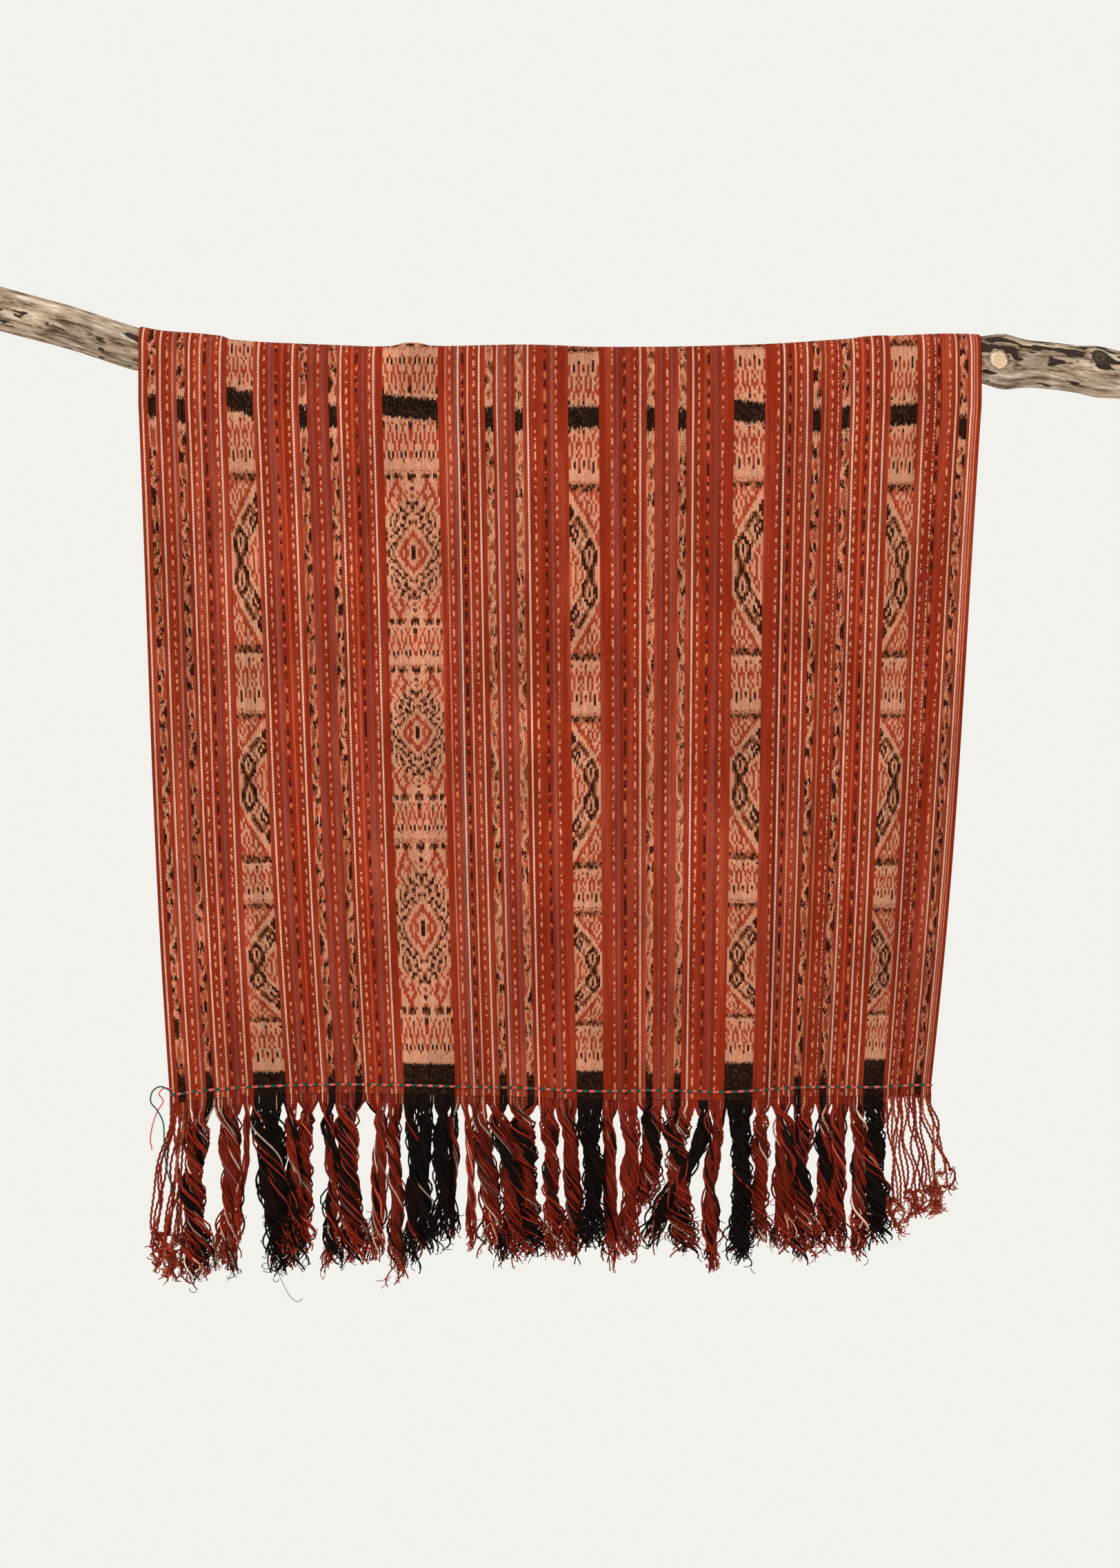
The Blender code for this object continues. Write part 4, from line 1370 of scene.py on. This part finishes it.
class MakeBranch(Operator):
    """The weathered branch, a closed tube on the frame's own line and radius"""

    bl_idname = "ikat.make_branch"
    bl_label = "Branch"

    def execute(self, context):
        sizes = context.scene.ikat_branch
        rng = np.random.default_rng(5)
        ends = np.array(BRANCH_LINE)[[0, -1], 0] * MM
        left, middle, right = (int(sizes.rings * share) for share in RING_SHARES)
        bare_left = np.linspace(ends[0], -COVERED, left)
        covered = np.linspace(-COVERED, COVERED, middle)[1:-1]
        bare_right = np.linspace(COVERED, ends[1], right)
        along = np.concatenate([bare_left, covered, bare_right])[:, None]
        angle = 2 * np.pi * np.arange(sizes.sides) / sizes.sides
        radius = branch_radius(along, angle)
        shown = ease((np.abs(along) - RELIEF_FROM) / RELIEF_EASE)
        radius = radius + branch_relief(along, angle, rng) * shown - SUNK * (1 - shown)
        for place, turn, half, rise in SIDE_KNOTS:
            aside = np.angle(np.exp(1j * (angle - math.radians(turn)))) * radius / MM
            distance = np.hypot(along / MM - place, aside) / half
            ring = rise * np.exp(-((distance - 0.9) / 0.45) ** 2) + 0.6 * rise * np.exp(-(distance**4))
            radius = radius + ring * MM
        x = np.broadcast_to(along, radius.shape)
        height = branch_height(along)
        points = np.stack([x, -radius * np.cos(angle), height + radius * np.sin(angle)], -1)
        number = np.arange(radius.size).reshape(radius.shape)
        caps = [number[0].tolist(), number[-1, ::-1].tolist()]
        made = make_mesh("driftwood_branch", points, ring_faces(number).tolist() + caps)
        own = points - height[..., None] * np.array((0.0, 0.0, 1.0))
        layer = made.data.attributes.new("wood_place", "FLOAT_VECTOR", "POINT")
        layer.data.foreach_set("vector", own.astype(np.float32).ravel())
        for cap in made.data.polygons[-2:]:
            cap.use_smooth = False
        made.data.materials.append(branch_wood(sizes))
        settle(made, "branch")
        return {"FINISHED"}


def branch_wood(sizes):
    """Weathered wood in the branch's own coordinates: streaks, grain, dark bark and sawn knots."""
    wood = Recipe("weathered driftwood", 0.85)
    place = wood.attribute("wood_place", "Vector")
    along, _, up = wood.split(place)

    def stretched(x, across, detail=4.0, roughness=0.6):
        moved = wood.node("ShaderNodeMapping", {"Vector": place, "Scale": (x, across, across)})
        return wood.noise(moved, 1.0, detail, roughness)

    streaks = stretched(20, 130, detail=6.0, roughness=0.66)
    grain = stretched(45, 520)
    blotches = stretched(13, 42, detail=5.0)
    colour = wood.ramp(wood.range(streaks, 0.36, 0.63), [
        (0.0, tuple(sizes.dark_grain)), (0.26, linear((140, 116, 92))), (0.52, tuple(sizes.grey_wood)),
        (0.74, linear((196, 172, 148))), (1.0, tuple(sizes.pale_wood)),
    ])
    light = wood.range(grain, 0.3, 0.7, 0.8, 1.16) * wood.range(blotches, 0.34, 0.6, 0.76, 1.14)
    colour = wood.scaled(colour, light)
    chips = stretched(26, 90, detail=2.0)
    pits = stretched(120, 120)
    on_top = wood.range(up, -4 * MM, 8 * MM) * wood.range(along, 0.40, 0.50)
    bark = wood.range(chips + (on_top - 1.0) * 0.12, 0.505, 0.53, smooth=True)
    colour = wood.mix(bark, colour, tuple(sizes.bark))
    height = streaks + grain * 0.5 + bark * 1.2
    for centre, radius, stops in WOOD_KNOTS:
        away = wood.node("ShaderNodeVectorMath", {0: place, 1: centre}, output=1, operation="DISTANCE")
        share = (away + (blotches + pits) * (7 * MM)) * (1 / radius)
        rings = wood.ramp(share, [(stop, linear(shade)) for stop, shade in stops])
        inside = wood.range(share, 1.0, 0.9, smooth=True)
        colour = wood.mix(inside, colour, rings)
        height = height - inside * 0.3
    wood.paint(colour)
    wood.bump(height, 0.8, 1.4 * MM)
    return wood.material


class StageSizes(PropertyGroup):
    distance: FloatProperty(
        name="Camera distance", description="From the camera to the cloth's face", default=4.2,
        unit="LENGTH",
    )
    face: FloatProperty(
        name="Cloth's face", description="Place of the hanging front, where the picture's scale holds",
        default=-15 * MM, unit="LENGTH",
    )
    view_height: FloatProperty(
        name="View height", description="Height of the whole picture at the cloth's face",
        default=PHOTO_ROWS * PIXEL, unit="LENGTH",
    )
    key_power: FloatProperty(
        name="Key light", description="Power of the big soft light", default=32.0, unit="POWER",
    )
    wall: FloatVectorProperty(
        name="Background", description="Colour all round", default=linear((243, 241, 236)), **COLOUR,
    )


def add_light(name, place, target, size, power):
    """A square area light at a place, turned to look at the target."""
    lamp = bpy.data.lights.new(name, "AREA")
    lamp.size = size
    lamp.energy = power
    made = bpy.data.objects.new(name, lamp)
    made.location = place
    direction = Vector(target) - Vector(place)
    made.rotation_euler = direction.to_track_quat("-Z", "Y").to_euler()
    bpy.context.scene.collection.objects.link(made)


def add_camera(distance, view_height, face, centre_height):
    """A level camera in front of the face that sees view_height there and becomes the scene's."""
    camera = bpy.data.cameras.new("camera")
    camera.sensor_fit = "AUTO"
    camera.sensor_width = 36.0
    camera.lens = camera.sensor_width * distance / view_height
    camera.clip_end = 50.0
    made = bpy.data.objects.new("camera", camera)
    made.location = (0.0, face - distance, centre_height)
    made.rotation_euler = (math.pi / 2, 0.0, 0.0)
    bpy.context.scene.collection.objects.link(made)
    bpy.context.scene.camera = made


def add_floor(rings=12, sides=96):
    """A plain disc of rings round a small middle face, in slightly uneven pale plaster."""
    turn = 2 * np.pi * np.arange(sides) / sides
    reach = np.linspace(0.02, FLOOR_RADIUS, rings)[:, None]
    level = np.full((rings, sides), FLOOR_HEIGHT)
    points = np.stack([reach * np.cos(turn), reach * np.sin(turn), level], -1)
    number = np.arange(rings * sides).reshape(rings, sides)
    floor = make_mesh("floor", points, ring_faces(number).tolist() + [number[0].tolist()])
    plaster = Recipe("pale floor", 0.9)
    tone = plaster.range(plaster.noise(plaster.object_place(), 7.0, 4.0), 0.3, 0.7)
    plaster.paint(plaster.mix(tone, linear((226, 223, 218)), linear((232, 229, 225))))
    floor.data.materials.append(plaster.material)


class MakeStage(Operator):
    """Camera at the photograph's angle, soft light, pale surroundings and a pale floor"""

    bl_idname = "ikat.make_stage"
    bl_label = "Camera, light and floor"

    def execute(self, context):
        sizes = context.scene.ikat_stage
        scene = context.scene
        scene.view_settings.view_transform = "Standard"
        centre_height = (ZERO_ROW - MIDDLE_ROW) * PIXEL
        add_camera(sizes.distance, sizes.view_height, sizes.face, centre_height)
        world = bpy.data.worlds.new("pale room light")
        world.use_nodes = True
        background = world.node_tree.nodes["Background"]
        background.inputs["Color"].default_value = (*sizes.wall, 1.0)
        background.inputs["Strength"].default_value = 1.0
        scene.world = world
        add_light("key light", KEY_PLACE, KEY_TARGET, KEY_SIZE, sizes.key_power)
        add_floor()
        return {"FINISHED"}


STEPS = (
    MakeBranch, MakeCloth, MakeTwining, MakeFrontFringe, MakeStrings, MakeStrayThreads,
    MakeBackFringe, MakeStage,
)


class IkatPanel(Panel):
    """Lists the pieces in the order in which they are made"""

    bl_idname = "VIEW3D_PT_ikat_cloth"
    bl_label = "Ikat cloth"
    bl_space_type = "VIEW_3D"
    bl_region_type = "UI"
    bl_category = "Ikat cloth"

    def draw(self, context):
        for step in STEPS:
            self.layout.operator(step.bl_idname)


GROUPS = {
    "ikat_branch": BranchSizes,
    "ikat_cloth": ClothSizes,
    "ikat_twining": TwiningSizes,
    "ikat_fringe": FringeSizes,
    "ikat_stage": StageSizes,
}


def register():
    for group in (*GROUPS.values(), *STEPS, IkatPanel):
        bpy.utils.register_class(group)
    for name, group in GROUPS.items():
        setattr(bpy.types.Scene, name, PointerProperty(type=group))


def unregister():
    for name in GROUPS:
        delattr(bpy.types.Scene, name)
    for group in reversed((*GROUPS.values(), *STEPS, IkatPanel)):
        bpy.utils.unregister_class(group)


def main():
    register()
    for step in STEPS:
        family, action = step.bl_idname.split(".")
        getattr(getattr(bpy.ops, family), action)()


if __name__ == "__main__":
    main()
